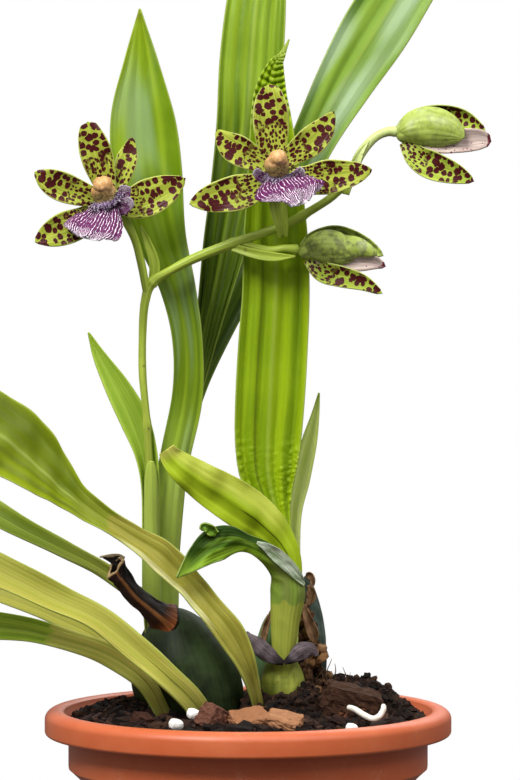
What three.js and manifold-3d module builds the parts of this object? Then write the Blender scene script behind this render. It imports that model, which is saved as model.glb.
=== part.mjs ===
// A zygopetalum orchid in its round plastic pot. Millimetres, +Z up.
// Origin: the centre of the pot's flat base, on the surface that the pot stands on.
// The blooms look along -Y.
import * as THREE from "three";
import { mergeVertices } from "three/addons/utils/BufferGeometryUtils.js";
import Module from "manifold-3d";

const wasm = await Module();
wasm.setup();

// ---- Driving dimensions -------------------------------------------------------------------

const CLEARANCE = 0.3; // left between pieces that touch
const SMALLEST_FACET = 0.07; // detail below this is dropped after a join or a cut
const SMALLEST_STEP = 0.14; // and below this where many small cuts leave steps
const FRONT = [0, -1, 0];
const UP_FRONT = [0, -0.8, 0.6];

const POT = {
  height: 116,
  rimRadius: 73.3,
  rimHeight: 9,
  mouthRadius: 66,
  collarRadius: 64.8,
  collarHeight: 12,
  stepHeight: 3.5,
  bodyRadius: 60.8,
  baseRadius: 47,
  wall: 2.9,
  floor: 3.6,
  holes: 6,
  holeRadius: 4.5,
  holeCircle: 30,
  segments: 36,
};

const MIX = {
  level: 113,
  mound: 3.4,
  moundSpread: 38,
  bank: { x: 36, y: 14, height: 3.6, spread: 17 },
  lump: 0.9,
  lumpSize: 4.4,
  chips: 34,
  chipCircle: 57,
  chipSeed: 11,
  segments: 28,
};

const GOLDEN_ANGLE = 2.4;
const LEAF_THICKNESS = 0.9;
const PETAL_THICKNESS = 0.8;
const SCALE_THICKNESS = 0.7;
const STUB_THICKNESS = 1.2;

const COLOUR = {
  terracotta: 0xcd6e41,
  bark: 0x2e1c12,
  tan: 0xa9764a,
  redBark: 0x5a2d1c,
  white: 0xe9e4d8,
  bulb: 0x2f4a33,
  youngBulb: 0x8aa550,
  dryStem: 0x4a2114,
  papery: 0x8f7a63,
  deepLeaf: 0x6e9b0f,
  brightLeaf: 0x8caf0a,
  paleLeaf: 0xa5c850,
  petiole: 0xb4af46,
  darkLeaf: 0x3f7a24,
  stalk: 0x9ab24a,
  tepal: 0xaebb48,
  lip: 0x8a3fa0,
  column: 0xd8a86c,
  mauve: 0xbea5a0,
};

// ---- Solids -------------------------------------------------------------------------------

function solidOf(geometry) {
  const bare = geometry.clone();
  bare.deleteAttribute("normal");
  bare.deleteAttribute("uv");
  const merged = mergeVertices(bare, 1e-4);
  const triVerts = new Uint32Array(merged.index.array);
  const vertProperties = merged.attributes.position.array;
  return new wasm.Manifold(new wasm.Mesh({ numProp: 3, vertProperties, triVerts }));
}

function geometryOf(solid) {
  const mesh = solid.getMesh();
  const geometry = new THREE.BufferGeometry();
  geometry.setAttribute("position", new THREE.BufferAttribute(mesh.vertProperties, 3));
  geometry.setIndex(new THREE.BufferAttribute(mesh.triVerts, 1));
  geometry.computeVertexNormals();
  return geometry;
}

function fuse(solids) {
  return solids.reduce((whole, solid) => whole.add(solid)).simplify(SMALLEST_FACET);
}

// The largest body left when the cutters are taken away: loose scraps are dropped.
function trim(solid, cutters, smallest = SMALLEST_FACET) {
  const cut = cutters.reduce((rest, cutter) => rest.subtract(cutter), solid);
  const bodies = cut.simplify(smallest).decompose();
  return bodies.reduce((a, b) => (b.volume() > a.volume() ? b : a));
}

// Cutters that keep a piece clear of a neighbour: the neighbour, moved a little every way.
function around(solid) {
  const step = CLEARANCE / Math.sqrt(3);
  const signs = [-step, step];
  return signs.flatMap((x) => signs.flatMap((y) => signs.map((z) => solid.translate(x, y, z))));
}

function seat(solid, carriers) {
  return trim(solid, carriers.flatMap(around), SMALLEST_STEP);
}

function geometryFrom(points, faces) {
  const geometry = new THREE.BufferGeometry();
  const flat = points.flatMap((point) => [point.x, point.y, point.z]);
  geometry.setAttribute("position", new THREE.Float32BufferAttribute(flat, 3));
  geometry.setIndex(faces);
  return geometry;
}

// A smooth line through the stations, and the values that follow their first three numbers.
function lineThrough(stations) {
  const places = stations.map(([x, y, z]) => new THREE.Vector3(x, y, z));
  const values = stations.map(([, , , width, fold = 0]) => new THREE.Vector3(width, fold, 0));
  return {
    place: new THREE.CatmullRomCurve3(places, false, "catmullrom", 0.5),
    value: new THREE.CatmullRomCurve3(values, false, "catmullrom", 0.5),
  };
}

// A leaf, petal or scale: a thin closed blade along its midrib. A station is x, y, z, half
// width and fold in degrees. A fold over 0 lifts both margins towards the face.
// Ridges run lengthwise, and the wave runs along the margins.
function blade(stations, options) {
  const { rows, columns, thickness, face = FRONT } = options;
  const { ridges = 0, ridge = 0, waves = 0, wave = 0, crimp = () => 0 } = options;
  const { place, value } = lineThrough(stations);
  const towards = new THREE.Vector3(...face).normalize();
  const middle = [];
  for (let i = 0; i <= rows; i++) {
    const t = i / rows;
    const at = place.getPoint(t);
    const along = place.getTangent(t);
    const { x: width, y: foldAngle } = value.getPoint(t);
    const half = Math.max(width, 0.3);
    const across = along.clone().cross(towards).normalize();
    const out = across.clone().cross(along).normalize();
    const fold = THREE.MathUtils.degToRad(foldAngle);
    for (let j = 0; j <= columns; j++) {
      const v = (2 * j) / columns - 1;
      const side = v * half * Math.cos(fold);
      const ripple = wave * v * v * Math.sin(2 * Math.PI * waves * t + 2 * v);
      const pleat = ridge * Math.cos(ridges * Math.PI * v) * Math.min(1, half / 6);
      const lift = Math.abs(v) * half * Math.sin(fold) + ripple + pleat + crimp(t, v);
      middle.push(at.clone().addScaledVector(across, side).addScaledVector(out, lift));
    }
  }
  return thicken(middle, rows, columns, thickness);
}

// A sheet of points made a closed shell: the same triangles on both faces, and a rim.
function thicken(middle, rows, columns, thickness) {
  const wide = columns + 1;
  const count = middle.length;
  const front = [];
  const back = [];
  for (let k = 0; k < count; k++) {
    const i = Math.floor(k / wide);
    const j = k % wide;
    const before = middle[Math.max(i - 1, 0) * wide + j];
    const after = middle[Math.min(i + 1, rows) * wide + j];
    const left = middle[i * wide + Math.max(j - 1, 0)];
    const right = middle[i * wide + Math.min(j + 1, columns)];
    const normal = right.clone().sub(left).cross(after.clone().sub(before)).normalize();
    front.push(middle[k].clone().addScaledVector(normal, thickness / 2));
    back.push(middle[k].clone().addScaledVector(normal, -thickness / 2));
  }
  const faces = [];
  for (let i = 0; i < rows; i++) {
    for (let j = 0; j < columns; j++) {
      const a = i * wide + j;
      const b = a + 1;
      const c = a + wide;
      const d = c + 1;
      faces.push(a, b, c, b, d, c);
      faces.push(count + a, count + c, count + b, count + b, count + c, count + d);
    }
  }
  const rim = (a, b) => faces.push(a, count + a, b, b, count + a, count + b);
  for (let j = 0; j < columns; j++) {
    rim(j, j + 1);
    rim(rows * wide + j + 1, rows * wide + j);
  }
  for (let i = 0; i < rows; i++) {
    rim((i + 1) * wide, i * wide);
    rim(i * wide + columns, (i + 1) * wide + columns);
  }
  return solidOf(geometryFrom([...front, ...back], faces));
}

// A round stem of changing radius: a station is x, y, z, radius.
function stem(stations, steps, sides) {
  const { place, value } = lineThrough(stations);
  const frames = place.computeFrenetFrames(steps, false);
  const points = [place.getPoint(0)];
  const faces = [];
  for (let i = 0; i <= steps; i++) {
    const t = place.getUtoTmapping(i / steps);
    const centre = place.getPoint(t);
    const radius = Math.max(value.getPoint(t).x, 0.3);
    for (let j = 0; j < sides; j++) {
      const angle = (2 * Math.PI * j) / sides;
      const point = centre.clone();
      point.addScaledVector(frames.normals[i], radius * Math.cos(angle));
      point.addScaledVector(frames.binormals[i], radius * Math.sin(angle));
      points.push(point);
    }
  }
  points.push(place.getPoint(1));
  const last = points.length - 1;
  for (let j = 0; j < sides; j++) {
    const next = (j + 1) % sides;
    faces.push(0, 1 + next, 1 + j);
    for (let i = 0; i < steps; i++) {
      const a = 1 + i * sides + j;
      const b = 1 + i * sides + next;
      faces.push(a, b, a + sides, b, b + sides, a + sides);
    }
    faces.push(last, last - sides + j, last - sides + next);
  }
  return solidOf(geometryFrom(points, faces));
}

function turned(profile, segments) {
  const points = profile.map(([radius, height]) => new THREE.Vector2(radius, height));
  return new THREE.LatheGeometry(points, segments).rotateX(Math.PI / 2);
}

function repeatable(seed) {
  let state = seed;
  return () => {
    state = (state * 1664525 + 1013904223) % 4294967296;
    return state / 4294967296;
  };
}

// An angular chunk: a box with its corners pushed about, turned and put in place.
function chunk({ at, size, turn = [0, 0, 0], seed = 1, rough = 0.25 }) {
  const draw = repeatable(seed);
  const geometry = mergeVertices(bareBox(size));
  const corner = geometry.attributes.position;
  for (let i = 0; i < corner.count; i++) {
    const pull = [0, 1, 2].map(() => 1 - rough * draw());
    corner.setXYZ(i, corner.getX(i) * pull[0], corner.getY(i) * pull[1], corner.getZ(i) * pull[2]);
  }
  const angles = turn.map((angle) => THREE.MathUtils.degToRad(angle));
  geometry.rotateX(angles[0]).rotateY(angles[1]).rotateZ(angles[2]).translate(...at);
  return solidOf(geometry);
}

function bareBox([width, depth, height]) {
  const box = new THREE.BoxGeometry(width, depth, height, 2, 1, 1);
  box.deleteAttribute("normal");
  box.deleteAttribute("uv");
  return box;
}

// ---- Pot and potting mix ------------------------------------------------------------------

const rimFoot = POT.height - POT.rimHeight;
const collarFoot = rimFoot - POT.collarHeight;
const stepFoot = collarFoot - POT.stepHeight;

function pot() {
  const top = POT.height;
  const rim = POT.rimRadius;
  const profile = [
    [0, 0],
    [POT.baseRadius - 1.5, 0],
    [POT.baseRadius, 1.5],
    [POT.bodyRadius, stepFoot],
    [POT.collarRadius, collarFoot],
    [POT.collarRadius, rimFoot],
    [rim - 1.8, rimFoot],
    [rim - 0.3, rimFoot + 2],
    [rim, rimFoot + 4.5],
    [rim - 0.8, top - 2],
    [rim - 2.6, top - 0.4],
    [rim - 4.5, top],
    [POT.mouthRadius + 0.8, top - 0.6],
    [POT.mouthRadius, top - 2.2],
    [POT.collarRadius - POT.wall, rimFoot],
    [POT.collarRadius - POT.wall, collarFoot],
    [POT.bodyRadius - POT.wall, stepFoot - 1],
    [POT.baseRadius - POT.wall, POT.floor],
    [0, POT.floor],
  ];
  const body = solidOf(turned(profile, POT.segments));
  const holes = [];
  for (let i = 0; i < POT.holes; i++) {
    const angle = (2 * Math.PI * i) / POT.holes;
    const bore = new THREE.CylinderGeometry(POT.holeRadius, POT.holeRadius, 3 * POT.floor, 12);
    const [x, y] = [POT.holeCircle * Math.cos(angle), POT.holeCircle * Math.sin(angle)];
    holes.push(solidOf(bore.rotateX(Math.PI / 2).translate(x, y, 0)));
  }
  return trim(body, holes);
}

// The mix is heaped a little in the middle, banked at one side, and lumpy all over.
function mixHeight(x, y) {
  const { bank, lumpSize } = MIX;
  const heap = MIX.mound * Math.exp(-((Math.hypot(x, y) / MIX.moundSpread) ** 2));
  const away = Math.hypot(x - bank.x, y - bank.y) / bank.spread;
  const coarse = Math.sin(x / lumpSize + 1) * Math.cos(y / lumpSize);
  const fine = Math.sin((1.4 * (x + y)) / lumpSize + 2);
  const lumps = MIX.lump * (coarse + 0.7 * fine);
  return MIX.level + heap + bank.height * Math.exp(-(away ** 2)) + lumps;
}

function mixBody() {
  const inside = POT.collarRadius - POT.wall - CLEARANCE;
  const top = [64.4, 56, 47, 38, 29, 19, 9, 0].map((radius) => [radius, MIX.level]);
  const profile = [
    [0, POT.floor + CLEARANCE],
    [POT.baseRadius - POT.wall - CLEARANCE, POT.floor + CLEARANCE],
    [POT.bodyRadius - POT.wall - CLEARANCE, stepFoot - 1],
    [inside, collarFoot],
    [inside, rimFoot],
    ...top,
  ];
  const geometry = turned(profile, MIX.segments);
  const place = geometry.attributes.position;
  for (let i = 0; i < place.count; i++) {
    if (place.getZ(i) > MIX.level - 1) {
      place.setZ(i, mixHeight(place.getX(i), place.getY(i)));
    }
  }
  return solidOf(geometry);
}

// Dark chips of the mix lie on a spiral, where nothing else rests or grows.
function mixChips(taken) {
  const draw = repeatable(MIX.chipSeed);
  const chips = [];
  for (let i = 0; i < MIX.chips; i++) {
    const angle = GOLDEN_ANGLE * i;
    const radius = MIX.chipCircle * Math.sqrt((i + 0.5) / MIX.chips);
    const [x, y] = [radius * Math.cos(angle), radius * Math.sin(angle)];
    if (taken.some((place) => Math.hypot(place.x - x, place.y - y) < place.radius)) {
      continue;
    }
    const size = [7 + 5 * draw(), 4 + 3 * draw(), 3 + 2 * draw()];
    const turn = [30 * draw() - 15, 30 * draw() - 15, 180 * draw()];
    chips.push(chunk({ at: [x, y, mixHeight(x, y) + 0.4], size, turn, seed: i + 1 }));
  }
  return chips;
}

// ---- Pseudobulbs --------------------------------------------------------------------------

// Each stands on its foot, x and y, and is widest at a third of its height. Lean moves its tip.
const BULBS = {
  front: { x: -16, y: -8.4, foot: 107, height: 46, radius: 16.8, lean: [-10.5, 1] },
  left: { x: -30.5, y: 18, foot: 107, height: 43, radius: 12.6, lean: [0, 0] },
  small: { x: 4, y: 6, foot: 107, height: 40, radius: 5, lean: [1, 0] },
  right: { x: 20.6, y: 13, foot: 107, height: 56, radius: 7.8, lean: [0.6, 0] },
  young: { x: 12.5, y: -6, foot: 109, height: 22, radius: 8, lean: [0, 0] },
};

const BULB_SIDES = 12;

function bulb({ x, y, foot, height, radius, lean }, grow = 0) {
  const steps = 8;
  const profile = [[0, foot - grow]];
  for (let i = 1; i < steps; i++) {
    const t = i / steps;
    const swell = Math.sin(Math.PI * t ** 0.85) ** 0.62;
    profile.push([radius * swell + grow, foot + height * t]);
  }
  profile.push([0, foot + height + grow]);
  const geometry = turned(profile, BULB_SIDES);
  const place = geometry.attributes.position;
  for (let i = 0; i < place.count; i++) {
    const t = (place.getZ(i) - foot) / height;
    const turn = Math.atan2(place.getY(i), place.getX(i));
    const groove = grow > 0 ? 1 : 1 - 0.035 * (1 + Math.cos(6 * turn));
    const sx = place.getX(i) * groove + x + lean[0] * t;
    const sy = place.getY(i) * groove + y + lean[1] * t;
    place.setXYZ(i, sx, sy, place.getZ(i));
  }
  return solidOf(geometry);
}

// ---- Leaves: x, y, z, half width, fold ----------------------------------------------------

// Shares of the pleated leaf's length where its cross folds fade in and out.
const CRIMP = {
  tipFrom: [0.78, 0.84],
  tipDepth: 1.1,
  footFrom: [0.2, 0.26],
  footTo: [0.3, 0.36],
  footDepth: 0.5,
  folds: 17,
};

const LEAVES = {
  leaf_tall_left: {
    colour: COLOUR.deepLeaf,
    rows: 22,
    columns: 4,
    waves: 5,
    wave: 0.5,
    stations: [
      [-31.5, 16.5, 142, 5, 35],
      [-31, 15, 160, 5.7, 35],
      [-30, 12, 189, 5.5, 32],
      [-27, 11, 209, 5.1, 28],
      [-22, 9, 229, 5.4, 20],
      [-22, 8, 249, 5.6, 16],
      [-25.5, 7, 268, 6.6, 14],
      [-31.5, 6, 287, 9.2, 12],
      [-36, 5, 310, 12.4, 11],
      [-38, 4, 329, 11.8, 12],
      [-38.5, 3, 349, 6.4, 14],
      [-39, 2, 368, 0.3, 14],
    ],
  },
  leaf_tall_centre: {
    colour: COLOUR.deepLeaf,
    rows: 22,
    columns: 4,
    waves: 4,
    wave: 0.6,
    stations: [
      [-31, 20.5, 142, 3, 30],
      [-30.4, 20, 158, 3.4, 30],
      [-29.4, 19, 183, 3.4, 30],
      [-26, 18, 208, 3.4, 28],
      [-20.4, 18, 229, 3.6, 24],
      [-14.6, 20, 254, 5, 18],
      [-8.6, 23, 283, 8.2, 14],
      [-4.2, 25, 305, 9.8, 12],
      [-0.6, 27, 328, 11.2, 10],
      [1.2, 29, 352, 11.8, 10],
      [3.2, 32, 376, 10.8, 11],
      [5.5, 36, 400, 7.8, 13],
      [7, 40, 421, 3.8, 14],
      [8, 43, 438, 0.3, 14],
    ],
  },
  leaf_tall_right: {
    colour: COLOUR.deepLeaf,
    rows: 22,
    columns: 4,
    waves: 5,
    wave: 0.7,
    stations: [
      [-30, 25, 141, 2.6, 28],
      [-28.8, 25.5, 158, 2.9, 28],
      [-27, 24, 183, 2.9, 28],
      [-24.2, 23, 208, 3, 26],
      [-19.8, 24, 227, 3.4, 24],
      [-12.6, 27, 246, 4.2, 20],
      [5, 34, 284, 6.4, 14],
      [15.4, 37, 304, 7.2, 12],
      [25.2, 40, 325, 8.6, 11],
      [36, 43, 345, 11, 10],
      [48, 47, 365, 12.9, 10],
      [62, 52, 387, 12, 11],
      [78, 58, 406, 8.6, 13],
      [92, 64, 420, 4.4, 14],
      [104, 70, 428, 0.3, 14],
    ],
  },
  leaf_pleated: {
    colour: COLOUR.brightLeaf,
    rows: 32,
    columns: 8,
    ridges: 4,
    ridge: 0.45,
    crimp: crimpedEnds,
    stations: [
      [12, -3.5, 126, 2.2, -20],
      [13.5, -2, 146, 2.8, -20],
      [14, 1, 168, 3, -16],
      [12, 3, 181, 3.6, -10],
      [9, 4, 191, 7, -4],
      [7.2, 4, 201, 10.4, 4],
      [7.2, 4, 213, 12, 6],
      [8, 4, 229, 12.6, 7],
      [9, 4, 247, 12.6, 7],
      [10, 4, 265, 12.2, 7],
      [10, 4, 282, 11.8, 7],
      [9.7, 4, 298, 10.6, 7],
      [9, 4, 315, 8.8, 6],
      [8.3, 4, 328, 7.4, 4],
      [8.2, 3.5, 336, 6, 2],
      [8.8, 3, 343, 4.6, 0],
      [11, 2.5, 350, 2.6, 0],
      [14.5, 2, 356.5, 0.3, 0],
    ],
  },
  leaf_small_right: {
    colour: COLOUR.paleLeaf,
    rows: 12,
    columns: 4,
    stations: [
      [15, -1.5, 125, 1.8, -12],
      [16, 2.5, 141, 2.2, -12],
      [16.6, 7, 155, 2.4, -8],
      [16.6, 9, 183, 2.6, 8],
      [19, 10, 198, 3.5, 14],
      [22, 11, 211, 3, 16],
      [24.3, 12, 221, 1.6, 16],
      [25.8, 13, 229.5, 0.3, 16],
    ],
  },
  leaf_small_left: {
    colour: COLOUR.paleLeaf,
    rows: 14,
    columns: 4,
    stations: [
      [-34.5, 9.5, 138, 3.6, 50],
      [-35.2, 8.5, 156, 4.4, 50],
      [-35.2, 8, 178, 4.5, 50],
      [-35.4, 7.6, 196, 4.6, 48],
      [-37, 7.4, 208, 5, 36],
      [-41, 7.6, 219.5, 5.6, 22],
      [-47, 8, 231, 4.8, 18],
      [-53.7, 9, 242.5, 2.6, 18],
      [-58, 10, 251.5, 0.3, 18],
    ],
  },
  leaf_young: {
    colour: COLOUR.brightLeaf,
    rows: 16,
    columns: 4,
    waves: 2,
    wave: 0.4,
    stations: [
      [13.5, -8, 124, 2, -22],
      [15, -9, 148, 2.8, -22],
      [16.2, -9, 166, 3.2, -24],
      [12.5, -9.5, 176, 4.6, -26],
      [5, -11, 185, 6.8, -28],
      [-4.5, -13, 192, 7.4, -30],
      [-14, -14, 198, 6.8, -32],
      [-22.5, -15, 203.5, 5, -34],
      [-27, -15, 207.5, 3, -36],
      [-28.5, -15, 211, 1, -30],
    ],
  },
  leaf_twisted: {
    colour: COLOUR.darkLeaf,
    rows: 20,
    columns: 4,
    waves: 3,
    wave: 0.5,
    stations: [
      [11.8, -11.6, 120, 3, -36],
      [12.4, -13.2, 130, 4, -36],
      [12.8, -14, 140, 5.2, -36],
      [13.3, -14, 149, 6.2, -34],
      [13.9, -14.2, 158, 6.6, -32],
      [12.6, -15.2, 166, 5.6, -30],
      [6.4, -18.4, 173.4, 3.8, -24],
      [-0.3, -20.6, 176.9, 3.4, -18],
      [-6.4, -23.4, 178, 5.6, -12],
      [-12.5, -26, 176.6, 6.2, 2],
      [-17.6, -27.6, 173.4, 5.2, 10],
      [-21.4, -28.6, 169.6, 3, 14],
      [-25, -29, 165.4, 0.3, 14],
    ],
  },
  leaf_low_upper: {
    colour: COLOUR.deepLeaf,
    rows: 24,
    columns: 4,
    face: UP_FRONT,
    waves: 6,
    wave: 0.9,
    stations: [
      [4, -16, 112, 2.6, 34],
      [2.6, -17.4, 121, 3, 34],
      [-0.4, -18.6, 130.6, 4, 34],
      [-4.4, -20.6, 142, 6, 34],
      [-12.4, -22, 153.4, 6.4, 34],
      [-21.1, -22, 162.5, 6.2, 33],
      [-32, -22, 172, 6.6, 31],
      [-42, -22.2, 179, 5.5, 29],
      [-52, -22.8, 185.4, 5, 26],
      [-62, -23.6, 191.8, 7.2, 20],
      [-71, -24.8, 202.2, 10, 15],
      [-80.2, -26.6, 209.6, 13.6, 11],
      [-90, -29, 217, 15, 9],
      [-107.5, -33, 227, 14.6, 8],
      [-126.5, -38, 233, 12.6, 9],
      [-145, -42, 234, 9.4, 12],
      [-161, -44, 231, 5, 14],
      [-173, -45, 225, 0.3, 14],
    ],
  },
  leaf_low_back: {
    colour: COLOUR.deepLeaf,
    rows: 20,
    columns: 4,
    face: UP_FRONT,
    waves: 4,
    wave: 0.6,
    stations: [
      [-37.6, 13, 128, 3, 30],
      [-39.4, 10.4, 144, 3.4, 30],
      [-44.6, 9, 155.6, 3.6, 30],
      [-54, 9, 163.6, 3.6, 30],
      [-67, 12, 171.8, 4.2, 29],
      [-83, 15.6, 179.4, 4.6, 25],
      [-102, 22, 189.6, 6, 16],
      [-125, 30, 198.6, 9.6, 11],
      [-148, 38, 202, 11.2, 10],
      [-169.5, 46, 198, 9.8, 11],
      [-187.5, 52, 188, 5.6, 13],
      [-199, 56, 180, 0.3, 14],
    ],
  },
  leaf_low_front: {
    colour: COLOUR.petiole,
    rows: 22,
    columns: 4,
    face: UP_FRONT,
    waves: 4,
    wave: 0.7,
    stations: [
      [-9, -26.6, 112, 3.4, 32],
      [-18.4, -29.2, 122.4, 5, 32],
      [-29.4, -31.4, 129.4, 6.8, 32],
      [-39.4, -32, 140, 6.8, 32],
      [-52, -32, 149.8, 6.3, 32],
      [-66, -32.8, 156.6, 6.5, 30],
      [-80.5, -35, 164, 6.6, 27],
      [-97, -40, 172.6, 7.6, 18],
      [-115.5, -47, 179, 10.2, 12],
      [-133.5, -55, 180, 10.8, 10],
      [-149.5, -63, 176.4, 8.4, 12],
      [-161, -70, 169.6, 3.8, 14],
      [-168, -73, 163.6, 0.3, 14],
    ],
  },
  leaf_low_inner: {
    colour: COLOUR.petiole,
    rows: 16,
    columns: 4,
    face: UP_FRONT,
    stations: [
      [-29, -6.6, 115, 2.2, 26],
      [-35.5, -9, 123.5, 2.7, 26],
      [-42, -10, 131, 2.9, 26],
      [-54.5, -10.6, 142, 3, 26],
      [-67, -10.6, 148.4, 3, 24],
      [-81.5, -9.6, 154.6, 3.2, 22],
      [-100, -6, 161, 4, 16],
      [-118, -2, 164, 6, 12],
      [-136.5, 2, 160.5, 6.8, 12],
      [-153, 6, 151.5, 4.4, 14],
      [-164, 8, 143, 0.3, 14],
    ],
  },
  leaf_low_outer: {
    colour: COLOUR.petiole,
    rows: 18,
    columns: 4,
    face: UP_FRONT,
    waves: 4,
    wave: 0.6,
    stations: [
      [-28, -18, 112, 3, 30],
      [-35, -19.6, 125, 4, 30],
      [-43, -20, 132.5, 4.8, 30],
      [-53, -20, 138, 5, 30],
      [-67, -20.6, 142.5, 5, 28],
      [-81, -22, 146, 5.2, 24],
      [-98, -25, 147.5, 7.2, 16],
      [-115.5, -29, 145, 9.6, 11],
      [-132.5, -34, 137.5, 9, 11],
      [-146, -38, 126.5, 5.4, 13],
      [-154, -41, 118, 0.3, 14],
    ],
  },
};

// The tip of the pleated leaf is folded across like a fan, and its foot is crinkled.
function crimpedEnds(t, v) {
  const { smoothstep } = THREE.MathUtils;
  const tip = smoothstep(t, ...CRIMP.tipFrom);
  const foot = smoothstep(t, ...CRIMP.footFrom) * (1 - smoothstep(t, ...CRIMP.footTo));
  const depth = CRIMP.tipDepth * tip + CRIMP.footDepth * foot * Math.abs(v);
  return depth * Math.cos(2 * Math.PI * CRIMP.folds * t);
}

// ---- Dry parts at the foot of the plant ---------------------------------------------------

const SCALES = {
  dry_stem_stub: {
    colour: COLOUR.dryStem,
    thickness: STUB_THICKNESS,
    rows: 8,
    columns: 6,
    stations: [
      [-24, -4, 145.5, 5.6, -24],
      [-28.5, -4, 149.4, 5.8, -10],
      [-34.5, -4, 154, 5.4, 26],
      [-39.6, -4, 158.4, 5.2, 46],
      [-44.2, -4, 163.6, 5.4, 52],
      [-49.4, -4, 170.4, 6, 50],
    ],
  },
  bract_left: {
    colour: COLOUR.papery,
    thickness: SCALE_THICKNESS,
    rows: 6,
    columns: 2,
    stations: [
      [7.8, -13.6, 123, 2.6, -24],
      [6.6, -16.2, 130.5, 4.2, -22],
      [3.4, -17, 135, 3.2, -20],
      [-0.4, -17, 140.4, 0.3, -16],
    ],
  },
  bract_right: {
    colour: COLOUR.papery,
    thickness: SCALE_THICKNESS,
    rows: 6,
    columns: 2,
    stations: [
      [17.4, -13.6, 123, 2.8, -24],
      [18.4, -16.4, 130.6, 5.2, -24],
      [23.8, -16.4, 134.6, 4, -20],
      [31, -15.6, 137.4, 0.3, -16],
    ],
  },
  bract_back: {
    colour: COLOUR.papery,
    thickness: SCALE_THICKNESS,
    rows: 8,
    columns: 2,
    stations: [
      [30, 3, 112, 5.6, -30],
      [29.4, 3.4, 124, 6.8, -32],
      [28.4, 4.2, 138, 6.2, -32],
      [26.6, 5.4, 150, 4, -30],
      [24.6, 6.8, 158, 0.3, -20],
    ],
  },
};

// Chunks that lie on the mix: bark, pale chips and perlite.
const CHUNKS = {
  bark_large: {
    colour: COLOUR.redBark,
    at: [36.5, -14, 118.5],
    size: [23, 17, 15],
    turn: [8, 14, 10],
    seed: 5,
  },
  bark_tan_left: {
    colour: COLOUR.tan,
    at: [-1, -45, 116],
    size: [14, 8, 6],
    turn: [24, -8, 20],
    seed: 6,
  },
  bark_tan_right: {
    colour: COLOUR.tan,
    at: [13, -45, 115.6],
    size: [13, 8, 4.5],
    turn: [18, 12, -14],
    seed: 7,
  },
  bark_mauve: {
    colour: COLOUR.papery,
    at: [-14.5, -41, 116],
    size: [10, 8, 8],
    turn: [10, 30, 40],
    seed: 8,
  },
  bark_round: {
    colour: COLOUR.tan,
    at: [-37, -35, 115.4],
    size: [7.5, 7, 6],
    turn: [20, 10, 30],
    seed: 9,
  },
  perlite_left: {
    colour: COLOUR.white,
    at: [-26, -49, 115],
    size: [5.5, 4.5, 4],
    turn: [20, 0, 30],
    seed: 10,
  },
  perlite_centre: {
    colour: COLOUR.white,
    at: [-20.5, -31, 117],
    size: [5, 5, 4],
    turn: [0, 20, 10],
    seed: 12,
  },
  perlite_right: {
    colour: COLOUR.white,
    at: [36, -51, 115],
    size: [4.5, 4, 3.6],
    turn: [30, 0, 0],
    seed: 13,
  },
};

const WHITE_ROOT = [
  [37, -36, 116.2, 1.1],
  [40.5, -38, 115, 1.3],
  [44, -39.5, 114, 1.3],
  [47.5, -38, 115, 1.3],
  [49.5, -36, 117.4, 1],
];

// ---- Flower spike -------------------------------------------------------------------------

const SPIKE = {
  sides: 6,
  stalk: [
    [-34.5, 3.6, 114, 1.5],
    [-34.8, 3.8, 140, 1.5],
    [-35.5, 4.6, 169, 1.4],
    [-35.5, 4.4, 196, 1.4],
    [-36.5, 3, 218, 1.3],
    [-38, 2, 236, 1.4],
    [-38, 1, 252, 1.4],
    [-37, 0, 263, 1.6],
    [-34.5, 0, 269.5, 1.9],
    [-27.5, -1.5, 274, 1.6],
    [-18.5, -2.6, 278.5, 1.8],
    [-5.5, -4, 283.5, 1.8],
    [5, -5, 287, 1.6],
    [14, -5, 290.5, 1.7],
    [23, -5, 295.5, 1.5],
    [31, -4.5, 301, 1.4],
    [36.5, -4, 307.5, 1.3],
    [40, -4, 315, 1.3],
    [45, -4, 321, 1.5],
    [50, -4, 323.5, 1.9],
    [53.2, -4, 323.2, 2.6],
  ],
  stalkSteps: 36,
  toLowerBud: [
    [-3.5, -4, 284, 1.2],
    [7, -5, 281.2, 1.4],
    [13.5, -5.6, 281.6, 1.5],
    [18.6, -6, 281, 2.2],
  ],
  toCentreBloom: [
    [13, -5, 289, 1.4],
    [12, -5.5, 294, 1.8],
    [10.8, -7, 300, 1.8],
    [10.4, -9.5, 306.5, 1.9],
  ],
  toLeftBloom: [
    [-36.3, 0, 265, 1.4],
    [-38.5, -2, 277, 1.5],
    [-41, -3.6, 286, 1.5],
    [-46.8, -5.4, 297.2, 1.9],
  ],
  bracts: [
    [
      [-34.5, 0.2, 268, 1.6, 20],
      [-33.6, -1.2, 276, 2, 20],
      [-36, -2, 283.5, 1.5, 20],
      [-38.6, -2.4, 290, 0.3, 20],
    ],
    [
      [9.5, -6, 287.5, 1.6, 20],
      [9, -8.4, 291.5, 1.8, 20],
      [10.5, -9, 295, 1.2, 20],
      [13, -9, 298.5, 0.3, 20],
    ],
    [
      [-5.5, -4.6, 282, 1.4, 20],
      [3, -6.4, 279.6, 1.8, 20],
      [10, -7, 278.6, 1.6, 20],
      [17, -7, 278.8, 0.3, 20],
    ],
  ],
};

// ---- Blooms and buds ----------------------------------------------------------------------

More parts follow.
